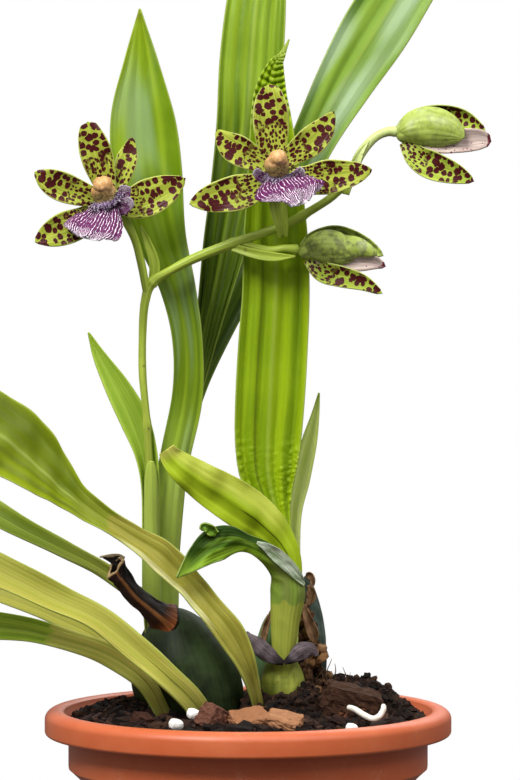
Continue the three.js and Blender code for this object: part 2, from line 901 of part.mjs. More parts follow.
const BLOOMS = {
  bloom_centre: {
    heart: [10.4, -12.6, 309.5, 4.2],
    tepals: [
      [
        [10.3, -12.6, 310, 2.4, 6],
        [8.6, -14, 318, 5, 10],
        [8, -15, 325.5, 6.3, 12],
        [7.8, -15.4, 332, 5, 12],
        [7, -15.4, 336.5, 2.6, 10],
        [6, -15, 339.4, 0.3, 8],
      ],
      [
        [9.6, -12.6, 310.4, 2.4, 6],
        [3.4, -14, 312.6, 3.6, 10],
        [-2.6, -15, 315.6, 4.8, 12],
        [-7, -15.2, 318.4, 3.8, 10],
        [-11, -15, 322.4, 0.3, 8],
      ],
      [
        [11.4, -12.6, 310.6, 2.4, 6],
        [17.2, -14, 316, 3.6, 10],
        [22.4, -15, 319.6, 4.9, 12],
        [26.6, -15.2, 324, 3.6, 10],
        [30.2, -15, 329.6, 0.3, 8],
      ],
      [
        [9.6, -12.6, 307.6, 2.6, 6],
        [3, -14, 303, 4.6, 10],
        [-4, -15, 301, 6.3, 12],
        [-12, -15.6, 299.4, 5, 12],
        [-16.6, -15.4, 298.2, 2.8, 10],
        [-20, -15, 297, 0.3, 8],
      ],
      [
        [12, -12.6, 308, 2.6, 6],
        [20.5, -14, 306, 4.8, 10],
        [28.5, -15, 307, 6.1, 12],
        [35.4, -15.4, 307.6, 4.6, 12],
        [40, -15.2, 308, 2.8, 10],
        [43.6, -15, 308.6, 0.3, 8],
      ],
    ],
    column: [
      [10.4, -16.8, 310.6, 3.6],
      [10.4, -19.4, 311.6, 4.6],
      [10.4, -22.2, 311.4, 4.5],
      [10.4, -24.2, 310, 2.6],
    ],
    callus: [
      [4.4, -19.4, 307.4, 1.7],
      [7.4, -21, 305.6, 2.2],
      [11, -21.4, 305.2, 2.3],
      [14.6, -21, 305.8, 2.2],
      [17.4, -19.6, 307.8, 1.6],
    ],
    lip: [
      [12, -14.8, 304.6, 3, 0],
      [12.8, -18.2, 303.6, 7, -6],
      [13.8, -22.2, 302.2, 11.4, -10],
      [14.8, -26, 300.6, 13.8, -12],
      [15.5, -28.4, 299.2, 12.6, -14],
      [15.9, -30, 297.6, 8, -14],
    ],
    lipFace: [0, -0.35, 1],
  },
  bloom_left: {
    heart: [-49.4, -8, 299.2, 4.2],
    tepals: [
      [
        [-50, -8.4, 300, 2.4, 6],
        [-52.4, -10, 309, 4.3, 10],
        [-54.6, -11.4, 316.4, 5.1, 12],
        [-56, -12, 321.6, 3.8, 10],
        [-57, -12, 327, 0.3, 8],
      ],
      [
        [-48, -8, 301, 2.4, 6],
        [-44.8, -7.4, 308.6, 3.2, 10],
        [-43, -6.6, 314.4, 3.4, 10],
        [-40.8, -6, 321.6, 0.3, 8],
      ],
      [
        [-51, -9, 298.6, 2.4, 6],
        [-58.6, -12, 301, 3.4, 10],
        [-66, -14.4, 303.2, 4.2, 12],
        [-71, -15.6, 305, 3.2, 10],
        [-75.6, -16, 306.6, 0.3, 8],
      ],
      [
        [-51, -9, 297, 2.6, 6],
        [-58.6, -11.6, 291, 4.6, 10],
        [-64.6, -13.4, 288.8, 5.2, 12],
        [-70, -14.6, 286.2, 3.4, 10],
        [-75.6, -15, 283.4, 0.3, 8],
      ],
      [
        [-47.6, -8, 297, 2.6, 6],
        [-41.4, -8, 297.6, 5.4, 10],
        [-35, -8.2, 299.8, 6.4, 12],
        [-28.4, -8.2, 302.6, 4.4, 12],
        [-22, -8, 305.6, 0.3, 8],
      ],
    ],
    column: [
      [-51.4, -12, 301, 3.6],
      [-52.4, -14.4, 302, 4.7],
      [-53.2, -17, 301.8, 4.6],
      [-53.8, -19, 300.4, 2.6],
    ],
    callus: [
      [-57.6, -15.4, 296.6, 1.7],
      [-54.8, -17.2, 296.4, 2.2],
      [-51, -17.4, 297.4, 2.4],
      [-47.2, -16.2, 299.8, 2.2],
      [-44.4, -13.8, 303, 1.9],
    ],
    lip: [
      [-50.4, -11, 297, 3, 0],
      [-51.2, -14.4, 295, 6.4, -6],
      [-51.8, -17.6, 291.8, 10.6, -10],
      [-52.3, -20.4, 288.4, 12.8, -12],
      [-52.4, -21.8, 286, 11.6, -14],
      [-52, -22.6, 284, 7.6, -14],
    ],
    lipFace: [-0.24, -0.71, 0.44],
  },
};

const BUDS = {
  bud_upper: {
    heart: [56, -4.2, 322.4, 3],
    sepals: [
      [
        [54.6, -3.6, 323, 2.2, 20],
        [59.4, -1.6, 328, 5, 40],
        [67.6, -1, 330.6, 6, 42],
        [76.6, -1.6, 329.4, 4.6, 36],
        [85, -3.4, 324, 0.3, 20],
      ],
      [
        [54.6, -5.4, 322.4, 2.2, -20],
        [59, -8.6, 322.8, 6.4, -34],
        [65, -9.8, 323.4, 7.8, -36],
        [70.6, -9.2, 322.4, 5.6, -30],
        [75, -8, 321, 0.3, -16],
      ],
      [
        [54.6, -4.2, 321, 2.2, 12],
        [59, -5.6, 315, 4, 20],
        [66.4, -6.4, 311, 4.6, 22],
        [74.4, -6.6, 308.4, 3, 18],
        [81, -6.4, 306, 0.3, 12],
      ],
    ],
    petals: [
      [60, -4.4, 322, 2.2],
      [66, -4.6, 321.6, 4.2],
      [74, -4.4, 321.4, 3.8],
      [81, -4.2, 321, 2.2],
      [86, -4, 320.4, 0.4],
    ],
  },
  bud_lower: {
    heart: [21, -6.2, 280.4, 3],
    sepals: [
      [
        [19.8, -5.4, 281.4, 2.2, 20],
        [24.4, -3.4, 285.6, 4.4, 40],
        [32, -2.8, 287.4, 5.2, 42],
        [41, -3.4, 284, 4, 36],
        [48.6, -5.2, 278, 0.3, 20],
      ],
      [
        [19.8, -7, 280.6, 2.2, -20],
        [23.4, -10, 281, 5.8, -34],
        [28.6, -11.2, 281.2, 7, -36],
        [34, -10.6, 279.6, 4.8, -30],
        [38.6, -9.6, 276.8, 0.3, -16],
      ],
      [
        [19.8, -6.2, 279.4, 2.2, 12],
        [25, -7.4, 274, 3.6, 20],
        [33, -8.2, 271.4, 4, 22],
        [41, -8.4, 269.4, 2.9, 18],
        [48, -8.2, 265.6, 0.3, 12],
      ],
    ],
    petals: [
      [25, -6.4, 280, 2.2],
      [30, -6.6, 279.6, 3.8],
      [37, -6.4, 278, 3.3],
      [43.6, -6.2, 276.6, 2],
      [48.8, -6, 275.2, 0.4],
    ],
  },
};

const PETAL = { rows: 6, columns: 4, thickness: PETAL_THICKNESS };
const LIP = { rows: 6, columns: 8, thickness: PETAL_THICKNESS, ridges: 3, ridge: 0.5 };

function ball([x, y, z, radius]) {
  const sphere = new THREE.IcosahedronGeometry(radius, 1);
  return solidOf(sphere.translate(x, y, z));
}

function spike() {
  const stems = [
    stem(SPIKE.stalk, SPIKE.stalkSteps, SPIKE.sides),
    stem(SPIKE.toLowerBud, 6, SPIKE.sides),
    stem(SPIKE.toCentreBloom, 6, SPIKE.sides),
    stem(SPIKE.toLeftBloom, 8, SPIKE.sides),
  ];
  const options = { rows: 6, columns: 2, thickness: SCALE_THICKNESS };
  const bracts = SPIKE.bracts.map((stations) => blade(stations, options));
  return fuse([...stems, ...bracts]);
}

// Petals or sepals that spread from the small heart that carries them.
function star(heart, lines) {
  return fuse([ball(heart), ...lines.map((stations) => blade(stations, PETAL))]);
}

function lip({ lip: stations, lipFace }) {
  return blade(stations, { ...LIP, face: lipFace });
}

// ---- The whole plant ----------------------------------------------------------------------

const orchid = new THREE.Group();

function add(name, solid, colour, roughness = 0.6) {
  const material = new THREE.MeshStandardMaterial({ color: colour, roughness, metalness: 0 });
  const mesh = new THREE.Mesh(geometryOf(solid), material);
  mesh.name = name;
  orchid.add(mesh);
}

const bulbs = Object.values(BULBS).map((spec) => bulb(spec));
const bulbSpace = Object.values(BULBS).map((spec) => bulb(spec, CLEARANCE));
const taken = [
  ...Object.values(BULBS).map(({ x, y, radius }) => ({ x, y, radius: radius + 6 })),
  ...Object.values(CHUNKS).map(({ at, size }) => ({ x: at[0], y: at[1], radius: size[0] / 2 + 7 })),
  ...Object.values(LEAVES).map(({ stations }) => ({ x: stations[0][0], y: stations[0][1], radius: 9 })),
];
const mix = trim(fuse([mixBody(), ...mixChips(taken)]), bulbSpace, SMALLEST_STEP);
const mixSpace = [mix, mix.translate(0, 0, CLEARANCE)];
const grounds = [...bulbSpace, ...mixSpace];

add("pot", pot(), COLOUR.terracotta, 0.55);
add("potting_mix", mix, COLOUR.bark, 0.95);
Object.keys(BULBS).forEach((key, i) => {
  add("pseudobulb_" + key, bulbs[i], key === "young" ? COLOUR.youngBulb : COLOUR.bulb, 0.45);
});

for (const [name, { colour, stations, ...shape }] of Object.entries(LEAVES)) {
  const leaf = blade(stations, { thickness: LEAF_THICKNESS, ...shape });
  add(name, trim(leaf, grounds), colour, 0.5);
}

for (const [name, { colour, stations, ...shape }] of Object.entries(SCALES)) {
  add(name, trim(blade(stations, shape), grounds), colour, 0.9);
}

for (const [name, { colour, ...shape }] of Object.entries(CHUNKS)) {
  add(name, trim(chunk(shape), mixSpace, SMALLEST_STEP), colour, 0.9);
}

add("root_tip", trim(stem(WHITE_ROOT, 10, 6), mixSpace), COLOUR.white, 0.7);

const flowerSpike = trim(spike(), grounds);
add("flower_spike", flowerSpike, COLOUR.stalk, 0.5);

for (const [name, bloom] of Object.entries(BLOOMS)) {
  const tepals = seat(star(bloom.heart, bloom.tepals), [flowerSpike]);
  const columnAndCallus = fuse([stem(bloom.column, 6, 8), stem(bloom.callus, 8, 6)]);
  const column = seat(columnAndCallus, [tepals]);
  add(name + "_tepals", tepals, COLOUR.tepal, 0.5);
  add(name + "_column", column, COLOUR.column, 0.5);
  add(name + "_lip", seat(lip(bloom), [tepals, column]), COLOUR.lip, 0.5);
}

for (const [name, bud] of Object.entries(BUDS)) {
  const outer = seat(star(bud.heart, bud.sepals), [flowerSpike]);
  const inner = stem(bud.petals, 6, 7);
  add(name + "_sepals", outer, COLOUR.tepal, 0.5);
  add(name + "_petals", seat(inner, [outer]), COLOUR.mauve, 0.5);
}

export default orchid;
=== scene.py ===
"""Looks of a zygopetalum orchid in its round plastic pot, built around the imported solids.

Lengths are in millimetres while a shape is worked out, and in metres in Blender. The pot stands
on its base at the origin, +Z is up, and the open blooms look along -Y.
"""

import logging
import math
from collections.abc import Callable, Sequence
from dataclasses import dataclass, field
from enum import Enum

import bpy
import numpy as np
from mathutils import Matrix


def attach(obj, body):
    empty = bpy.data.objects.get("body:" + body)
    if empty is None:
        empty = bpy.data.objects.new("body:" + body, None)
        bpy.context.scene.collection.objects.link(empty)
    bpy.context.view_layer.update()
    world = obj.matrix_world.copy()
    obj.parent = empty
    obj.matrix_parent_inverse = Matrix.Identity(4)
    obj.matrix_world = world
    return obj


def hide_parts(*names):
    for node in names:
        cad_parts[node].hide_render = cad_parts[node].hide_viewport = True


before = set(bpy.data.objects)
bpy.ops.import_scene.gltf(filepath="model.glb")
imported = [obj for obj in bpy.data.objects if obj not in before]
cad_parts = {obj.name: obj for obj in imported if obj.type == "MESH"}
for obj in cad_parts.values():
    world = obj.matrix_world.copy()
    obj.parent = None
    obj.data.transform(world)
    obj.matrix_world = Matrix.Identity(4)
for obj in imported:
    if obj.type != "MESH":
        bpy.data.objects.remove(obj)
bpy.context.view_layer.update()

Array = np.ndarray
Row = tuple[float, ...]
Rows = Sequence[Row]
Relief = Callable[[Array, Array, Array], Array]
Socket = bpy.types.NodeSocket
Feed = Socket | int | float | str | Row | None

log = logging.getLogger("orchid")

MM = 0.001
SEED_STEP = 37.0
WHITE = (1.0, 1.0, 1.0, 1.0)
PETAL = {"thickness": 0.8, "margin": 0.3}
CHANCE_WAVES = 9
CHORDS = 600
FRONT = (0.0, -1.0, 0.0)
UP_FRONT = (0.0, -0.8, 0.6)
SIDEWAYS = (1.0, 0.0, 0.0)


# ---- Numbers ------------------------------------------------------------------------------


def unit(vectors: Array) -> Array:
    """The vectors, each divided by its length."""
    return vectors / np.maximum(np.linalg.norm(vectors, axis=-1, keepdims=True), 1e-9)


def smooth(value: Array, low: float, high: float) -> Array:
    """A soft step: 0 up to low, 1 from high, and 3s^2 - 2s^3 of the share s between."""
    share = np.clip((value - low) / (high - low), 0, 1)
    return share * share * (3 - 2 * share)


def bump_at(value: Array, centre: float, width: float) -> Array:
    """A bell: e to the minus square of the distance from centre, in widths."""
    return np.exp(-(((value - centre) / width) ** 2))


def rumple(x: Array, y: Array, seed: int, size: float) -> Array:
    """Soft irregular relief from about -1 to 1.

    It is the mean of a few sine waves that run in chance directions, with crests about size apart.

    Args:
        x: First coordinate of each point.
        y: Second coordinate of each point.
        seed: Chooses the waves.
        size: Mean distance between two crests, in the unit of x and y.

    Returns:
        The relief at each point.
    """
    draw = np.random.default_rng(seed)
    turn = draw.uniform(0, 2 * np.pi, CHANCE_WAVES)
    pitch = 2 * np.pi / (size * draw.uniform(0.6, 1.7, CHANCE_WAVES))
    start = draw.uniform(0, 2 * np.pi, CHANCE_WAVES)
    phase = pitch * (x[..., None] * np.cos(turn) + y[..., None] * np.sin(turn)) + start
    return np.sin(phase).mean(-1) * 2.2


def through(stations: Array, t: Array) -> Array:
    """Values on the smooth line through evenly spread stations.

    Between two stations the line is the cubic that starts and ends on them, and its slope at a
    station is half the step between that station's two neighbours. A neighbour missing at an
    end is the station's own mirror image of the next one.

    Args:
        stations: One row of numbers for each station.
        t: Shares of the line, from 0 to 1, in any shape.

    Returns:
        The rows at those shares, with the numbers along the last axis.
    """
    head = 2 * stations[0] - stations[1]
    tail = 2 * stations[-1] - stations[-2]
    padded = np.vstack([head, stations, tail])
    spot = np.clip(t, 0, 1) * (len(stations) - 1)
    span = np.minimum(spot.astype(int), len(stations) - 2)
    w = (spot - span)[..., None]
    before, start, end, after = (padded[span + k] for k in range(4))
    out, into = (end - before) / 2, (after - start) / 2
    square = 3 * (end - start) - 2 * out - into
    cube = 2 * (start - end) + out + into
    return start + w * (out + w * (square + w * cube))


def heading(stations: Array, t: Array) -> Array:
    """Unit direction of the line through the stations' first three numbers, at shares t."""
    step = 1e-4
    ahead = through(stations[:, :3], np.minimum(t + step, 1))
    return unit(ahead - through(stations[:, :3], np.maximum(t - step, 0)))


def distance_along(stations: Array, t: Array) -> Array:
    """Length of the line up to each share t, added up over many short chords."""
    share = np.linspace(0, 1, CHORDS + 1)
    chords = np.linalg.norm(np.diff(through(stations[:, :3], share), axis=0), axis=1)
    return np.interp(t, share, np.concatenate([[0], np.cumsum(chords)]))


# ---- Meshes -------------------------------------------------------------------------------


def shell_faces(rows: int, ring: int) -> Array:
    """Quads of a closed tube of rows rings with an even number of points, capped by strips.

    Point k of ring i has number i * ring + k. A cap joins point j to the point that faces it
    across the ring, number ring - 1 - j.
    """
    i, k = np.meshgrid(np.arange(rows - 1), np.arange(ring), indexing="ij")
    a, b = i * ring + k, i * ring + (k + 1) % ring
    sides = np.stack([a, b, b + ring, a + ring], -1).reshape(-1, 4)
    j = np.arange(ring // 2 - 1)
    cap = np.stack([j, ring - 1 - j, ring - 2 - j, j + 1], -1)
    return np.concatenate([sides, cap, cap[:, ::-1] + (rows - 1) * ring])


@dataclass
class Skin:
    """Closed surfaces that are gathered in one mesh.

    Every point carries two triples that the finishes read. Its flat triple is the distance
    across and along the surface in millimetres, and a number that tells surfaces apart. Its
    place triple is the share across from -1 to 1, the share along from 0 to 1, and the face,
    1 in front and -1 behind.
    """

    points: list[Array] = field(default_factory=list)
    faces: list[Array] = field(default_factory=list)
    flat: list[Array] = field(default_factory=list)
    place: list[Array] = field(default_factory=list)
    count: int = 0

    def add(self, points: Array, faces: Array, flat: Array, place: Array) -> "Skin":
        """Adds one surface, or a stack of equal ones along the first axis.

        Args:
            points: Places in millimetres, (surfaces, points, 3).
            faces: Quads of one surface, as point numbers.
            flat: Flat triples, in the shape of points.
            place: Place triples, in the shape of points.

        Returns:
            The skin itself.
        """
        copies, size = points.shape[:2]
        offsets = self.count + size * np.arange(copies)
        self.points.append(points.reshape(-1, 3))
        self.flat.append(np.broadcast_to(flat, points.shape).reshape(-1, 3))
        self.place.append(np.broadcast_to(place, points.shape).reshape(-1, 3))
        self.faces.append((faces[None] + offsets[:, None, None]).reshape(-1, 4))
        self.count += copies * size
        return self

    def wrap(self, points: Array, flat: Array, place: Array) -> "Skin":
        """Adds one closed tube from its rings: points and triples of the shape (rows, ring, 3)."""
        grids = (grid.reshape(1, -1, 3) for grid in (flat, place))
        return self.add(points.reshape(1, -1, 3), shell_faces(*points.shape[:2]), *grids)

    def put(self, name: str, finish: "Finish", node: str, slot: str, rounded: bool = True) -> None:
        """Puts the gathered surfaces in the scene as one piece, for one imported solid."""
        place_piece(name, self.mesh(name, rounded), finish, [node])

    def mesh(self, name: str, rounded: bool = True) -> bpy.types.Mesh:
        """The gathered surfaces as one Blender mesh, in metres.

        Args:
            name: The mesh's name.
            rounded: Whether light runs smoothly over its edges.

        Returns:
            The new mesh.
        """
        points, faces = np.concatenate(self.points), np.concatenate(self.faces)
        mesh = bpy.data.meshes.new(name)
        mesh.vertices.add(len(points))
        mesh.vertices.foreach_set("co", (points * MM).astype(np.float32).ravel())
        mesh.loops.add(faces.size)
        mesh.loops.foreach_set("vertex_index", faces.astype(np.int32).ravel())
        mesh.polygons.add(len(faces))
        mesh.polygons.foreach_set("loop_start", np.arange(0, faces.size, 4, dtype=np.int32))
        mesh.update(calc_edges=True)
        for label, values in (("flat", self.flat), ("place", self.place)):
            layer = mesh.attributes.new(label, "FLOAT_VECTOR", "POINT")
            layer.data.foreach_set("vector", np.concatenate(values).astype(np.float32).ravel())
        mesh.polygons.foreach_set("use_smooth", np.full(len(faces), rounded))
        return mesh


def in_scene(name: str, data: bpy.types.ID) -> bpy.types.Object:
    """A new object of that name in the scene, made of a mesh, a lamp or a camera."""
    made = bpy.data.objects.new(name, data)
    bpy.context.scene.collection.objects.link(made)
    return made


def place_piece(name: str, mesh: bpy.types.Mesh, finish: "Finish", nodes: Sequence[str]) -> None:
    """Puts a mesh in the scene as one piece of the plant.

    Args:
        name: The piece's name.
        mesh: Its mesh, in metres and in place.
        finish: What its surface looks like.
        nodes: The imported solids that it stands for.
    """
    piece = in_scene(name, mesh)
    mesh.materials.append(finish.material())
    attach(piece, "root")
    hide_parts(*nodes)
    log.info("%s: %d faces, %s", name, len(mesh.polygons), finish.name)


# ---- Shapes -------------------------------------------------------------------------------


def turns(count: int) -> Array:
    """Angles spread evenly round a circle, from 0."""
    return np.arange(count) * 2 * np.pi / count


def crowded(count: int) -> Array:
    """Shares from 0 to 1, closer together near both ends: half of 1 less a cosine."""
    return (1 - np.cos(np.linspace(0, np.pi, count))) / 2


def ring_about(along: Array, beside: Row, turn: Array) -> Array:
    """Unit vectors square to a line at each turn about it.

    They are the turn's cosine times the line's cross product with beside, plus its sine times
    the direction square to both.
    """
    first = unit(np.cross(along, np.array(beside)))[..., None, :]
    second = np.cross(along[..., None, :], first)
    return np.cos(turn)[..., None] * first + np.sin(turn)[..., None] * second


def round_place(turn: Array, share: Array) -> Array:
    """Place triples of a round shape: the turn's cosine, the share along, the turn's sine."""
    return np.stack([np.cos(turn), share, np.sin(turn)], -1)


@dataclass(frozen=True)
class Blade:
    """A leaf, petal or scale: a thin closed sheet along its midrib.

    Each station is x, y, z, half width and fold in degrees. A point at share v across lies on a
    section whose margins are lifted by the fold. The section is a V for round 0, and for round
    1 the arc that starts level at the midrib and ends on the same margins. Pleats, ripples and
    veins are then added to the lift.
    """

    stations: Rows
    face: Row = FRONT
    rows: int = 130
    columns: int = 34
    thickness: float = 0.9
    margin: float = 0.35
    stout: float = 0.0
    stout_to: float = 0.4
    round: float = 0.5
    waves: float = 0.0
    wave: float = 0.0
    ridges: int = 0
    ridge: float = 0.0
    veins: int = 0
    vein: float = 0.0
    rumple: float = 0.25
    rumple_size: float = 24.0
    relief: Relief | None = None
    reach: Callable[[Array], Array] | None = None
    crowd: float = 1.0
    seed: int = 1

    def middle(self, t: Array, v: Array) -> tuple[Array, Array, Array]:
        """The sheet's middle surface.

        Args:
            t: Share along the midrib of each grid point.
            v: Share across of each grid point, from -1 to 1.

        Returns:
            The points, their half widths, and their distances along, in millimetres.
        """
        stations = np.array(self.stations, float)
        value = through(stations, t)
        half = np.maximum(value[..., 3], 0.3)
        fold = np.radians(value[..., 4])
        fold = np.where(np.abs(fold) < 1e-3, 1e-3, fold)
        along = heading(stations, t)
        across = unit(np.cross(along, np.array(self.face)))
        out = np.cross(across, along)
        size = np.abs(v)
        soft = np.sqrt(size**2 + 0.01) - 0.1
        arc = 2 * fold * size
        side = (1 - self.round) * size * np.cos(fold) + self.round * np.sin(arc) / (2 * np.sin(fold))
        lift = (1 - self.round) * soft * np.sin(fold)
        lift += self.round * (1 - np.cos(arc)) / (2 * np.sin(fold))
        distance = distance_along(stations, t)
        rise = lift * half + self.ripples(t, v, half, distance)
        spread = (np.sign(v) * side * half)[..., None] * across
        return value[..., :3] + spread + rise[..., None] * out, half, distance

    def ripples(self, t: Array, v: Array, half: Array, distance: Array) -> Array:
        """Lift of each point over the plain section.

        It is the sum of waves that grow with the square of v, pleats and veins that are cosines
        of v, a soft chance relief, and the blade's own relief.
        """
        rise = self.wave * v * v * np.sin(2 * np.pi * self.waves * t + 2 * v)
        rise += self.ridge * np.cos(self.ridges * np.pi * v) * np.minimum(1, half / 7) ** 2
        rise += self.vein * np.cos(self.veins * np.pi * v) * np.minimum(1, half / 6) ** 2
        chance = rumple(v * half, distance, self.seed, self.rumple_size)
        rise += self.rumple * chance * np.minimum(1, half / 8)
        if self.relief:
            rise += self.relief(t, v, half)
        return rise

    def add_to(self, skin: Skin) -> Skin:
        """Adds the blade to a skin: its front, its back, and a thin rounded margin.

        The two faces stand off the middle surface, along its normal, by half of a thickness
        that falls from the midrib to the margins as the square root of 1 - v^4.
        """
        v_line = np.sin(np.linspace(-1, 1, self.columns + 1) * np.pi / 2) * 0.35
        v_line += np.linspace(-1, 1, self.columns + 1) * 0.65
        t_line = 1 - (1 - np.linspace(0, 1, self.rows + 1)) ** self.crowd
        t, v = np.meshgrid(t_line, v_line, indexing="ij")
        if self.reach:
            t = t * self.reach(v)
        points, half, distance = self.middle(t, v)
        normal = unit(np.cross(np.gradient(points, axis=1), np.gradient(points, axis=0)))
        body = self.thickness + self.stout * (1 - smooth(t, 0, self.stout_to))
        body = np.minimum(body, half * 1.2)
        gap = self.margin + (body - self.margin) * np.sqrt(1 - v**4)
        offset = normal * gap[..., None] / 2
        rings = np.concatenate([points + offset, (points - offset)[:, ::-1]], axis=1)
        flat = np.stack([v * half, distance, np.full_like(v, self.seed * SEED_STEP)], -1)
        place = np.stack([v, t, np.ones_like(v)], -1)
        flats = np.concatenate([flat, flat[:, ::-1]], axis=1)
        places = np.concatenate([place, place[:, ::-1] * (1, 1, -1)], axis=1)
        return skin.wrap(rings, flats, places)


@dataclass(frozen=True)
class Stem:
    """A round stem, column or root along stations of x, y, z and radius, with rounded ends.

    A ring stands square to the line. Its radius is the station's, times a quarter circle near
    each end, plus the relief.
    """

    stations: Rows
    beside: Row = FRONT
    rows: int = 90
    sides: int = 24
    relief: Relief | None = None
    seed: int = 1

    def add_to(self, skin: Skin) -> Skin:
        """Adds the stem to a skin, with more rings near its ends."""
        stations = np.array(self.stations, float)
        t = crowded(self.rows)
        value = through(stations, t)
        distance = distance_along(stations, t)
        radius = np.maximum(value[:, 3], 0.2)
        nearest = np.minimum(distance, distance[-1] - distance) / radius
        radius = radius * np.sqrt(np.clip(1 - (1 - np.minimum(nearest, 1)) ** 2, 1e-4, 1))
        turn, share = np.meshgrid(turns(self.sides), t)
        spread = radius[:, None] * np.ones_like(turn)
        if self.relief:
            spread = spread + self.relief(share, turn, spread)
        ring = ring_about(heading(stations, t), self.beside, turn)
        points = value[:, None, :3] + ring * spread[..., None]
        flat = np.stack([turn * radius.max(), distance[:, None] + 0 * turn,
                         np.full_like(turn, self.seed * SEED_STEP)], -1)
        return skin.wrap(points, flat, round_place(turn, share))


@dataclass(frozen=True)
class Husk:
    """A hollow dry stem, flared at its foot and cut open aslant at its top.

    Stations are x, y, z and radius. A ring is a circle with three soft ridges, a cosine of
    three times the angle, whose sign changes towards the three-cornered mouth. The wall runs up
    outside and down again inside, where the place triple's share along goes on past 1.
    """

    stations: Rows
    wall: float = 0.9
    ridge: float = 0.13
    mouth_ridge: float = 1.9
    slant: float = 1.5
    rows: int = 70
    rows_inside: int = 44
    sides: int = 64

    def skin(self) -> Skin:
        """The stem as a skin of its own."""
        stations = np.array(self.stations, float)
        t = np.concatenate([np.linspace(0, 1, self.rows), np.linspace(0.995, 0.3, self.rows_inside)])
        inside = np.arange(len(t)) >= self.rows
        value, along = through(stations, t), heading(stations, t)
        turn, share = np.meshgrid(turns(self.sides), t)
        mouth = smooth(share, 0.72, 1)
        corners = np.cos(3 * (turn + np.pi / 2))
        ridges = corners * (1 - mouth) - self.mouth_ridge * corners * mouth
        ridges = 1 + self.ridge * ridges * (1 - 0.4 * inside[:, None])
        ribs = 0.012 * np.cos(17 * turn) * ~inside[:, None]
        radius = (value[:, 3] - self.wall * inside)[:, None] * (ridges + ribs)
        radius = radius * np.where(t == t[0], 0.86, 1)[:, None]
        radius += 0.25 * rumple(turn * 3, share * 20, 9, 5.0)
        ring = ring_about(along, FRONT, turn)
        slant = self.slant * smooth(share, 0.6, 1) * (0.5 * np.sin(turn) + np.cos(turn))
        slant += 0.3 * smooth(share, 0.85, 1) * np.sin(5 * turn)
        points = value[:, None, :3] + ring * radius[..., None] + slant[..., None] * along[:, None]
        flat = np.stack([turn * 5, share * 34, turn * 0], -1)
        return Skin().wrap(points, flat, round_place(turn, share + inside[:, None] * (2 - 2 * share)))


def add_turned(skin: Skin, profile: Rows, sides: int, soften: int = 1) -> Skin:
    """Adds a profile of radius and height turned about the upright axis.

    The profile's points are joined by straight runs, each cut in soften parts. Its ends lie on
    the axis, where a ring of no radius closes the surface.
    """
    line = np.array(profile, float)
    share = np.linspace(0, len(line) - 1, (len(line) - 1) * soften + 1)
    radius, height = (np.interp(share, np.arange(len(line)), line[:, k]) for k in (0, 1))
    radius = np.maximum(radius, 1e-3)
    turn, ring = np.meshgrid(turns(sides), radius)
    z = height[:, None] + 0 * turn
    points = np.stack([ring * np.cos(turn), ring * np.sin(turn), z], -1)
    flat = np.stack([turn * ring, z, 0 * z], -1)
    return skin.wrap(points, flat, round_place(turn, share[:, None] / share[-1] + 0 * turn))


def cube_surface(cells: int) -> tuple[Array, Array]:
    """Points and quads of a cube from -1 to 1 with each face cut in cells by cells.

    The six faces are the two ends of each axis, and points that fall together are merged.
    """
    line = np.linspace(-1, 1, cells + 1)
    a, b = np.meshgrid(line, line, indexing="ij")
    grid = np.arange((cells + 1) ** 2).reshape(cells + 1, cells + 1)
    quad = np.stack([grid[:-1, :-1], grid[1:, :-1], grid[1:, 1:], grid[:-1, 1:]], -1).reshape(-1, 4)
    points, faces = [], []
    for axis in range(3):
        for end in (-1, 1):
            side = np.zeros((a.size, 3))
            side[:, axis] = end
            side[:, (axis + 1) % 3] = a.ravel()
            side[:, (axis + 2) % 3] = b.ravel()
            faces.append((quad if end > 0 else quad[:, ::-1]) + len(points) * a.size)
            points.append(side)
    merged, number = np.unique(np.round(np.concatenate(points), 6), axis=0, return_inverse=True)
    return merged, number.reshape(-1)[np.concatenate(faces)]


def turned_by(points: Array, angles: Array) -> Array:
    """Stacks of points, each turned about X, then Y, then Z by its own angles in degrees."""
    c, s = np.cos(np.radians(angles)), np.sin(np.radians(angles))
    x, y, z = (points[..., k] for k in range(3))
    y, z = c[:, 0:1] * y - s[:, 0:1] * z, s[:, 0:1] * y + c[:, 0:1] * z
    x, z = c[:, 1:2] * x + s[:, 1:2] * z, -s[:, 1:2] * x + c[:, 1:2] * z
    x, y = c[:, 2:3] * x - s[:, 2:3] * y, s[:, 2:3] * x + c[:, 2:3] * y
    return np.stack([x, y, z], -1)


def add_chunks(skin: Skin, at: Array, size: Array, turn: Array, seed: int, cells: int = 2,
               rough: float = 0.3, bulge: float = 0.25) -> Skin:
    """Adds broken angular chunks.

    Each is a cube whose points move towards a ball by bulge and then inwards by a chance share
    up to rough, stretched to its size, turned and put in place.

    Args:
        skin: Takes the chunks.
        at: Their middles, (chunks, 3), in millimetres.
        size: Their lengths along their own axes.
        turn: Their turns about X, Y and Z in degrees.
        seed: Chooses the chance shares.
        cells: Cuts along each edge.
        rough: Largest chance share.
        bulge: 0 for a sharp box, 1 for a ball.

    Returns:
        The skin itself.
    """
    draw = np.random.default_rng(seed)
    base, faces = cube_surface(cells)
    base = base * (1 - bulge) + unit(base) * bulge
    pull = 1 - rough * draw.random((len(at), len(base), 3))
    own = base[None] * pull * size[:, None] / 2
    tone = draw.random(len(at))
    flat = own + tone[:, None, None] * 60
    place = np.broadcast_to(tone[:, None, None], own.shape)
    return skin.add(turned_by(own, turn) + at[:, None], faces, flat, place)


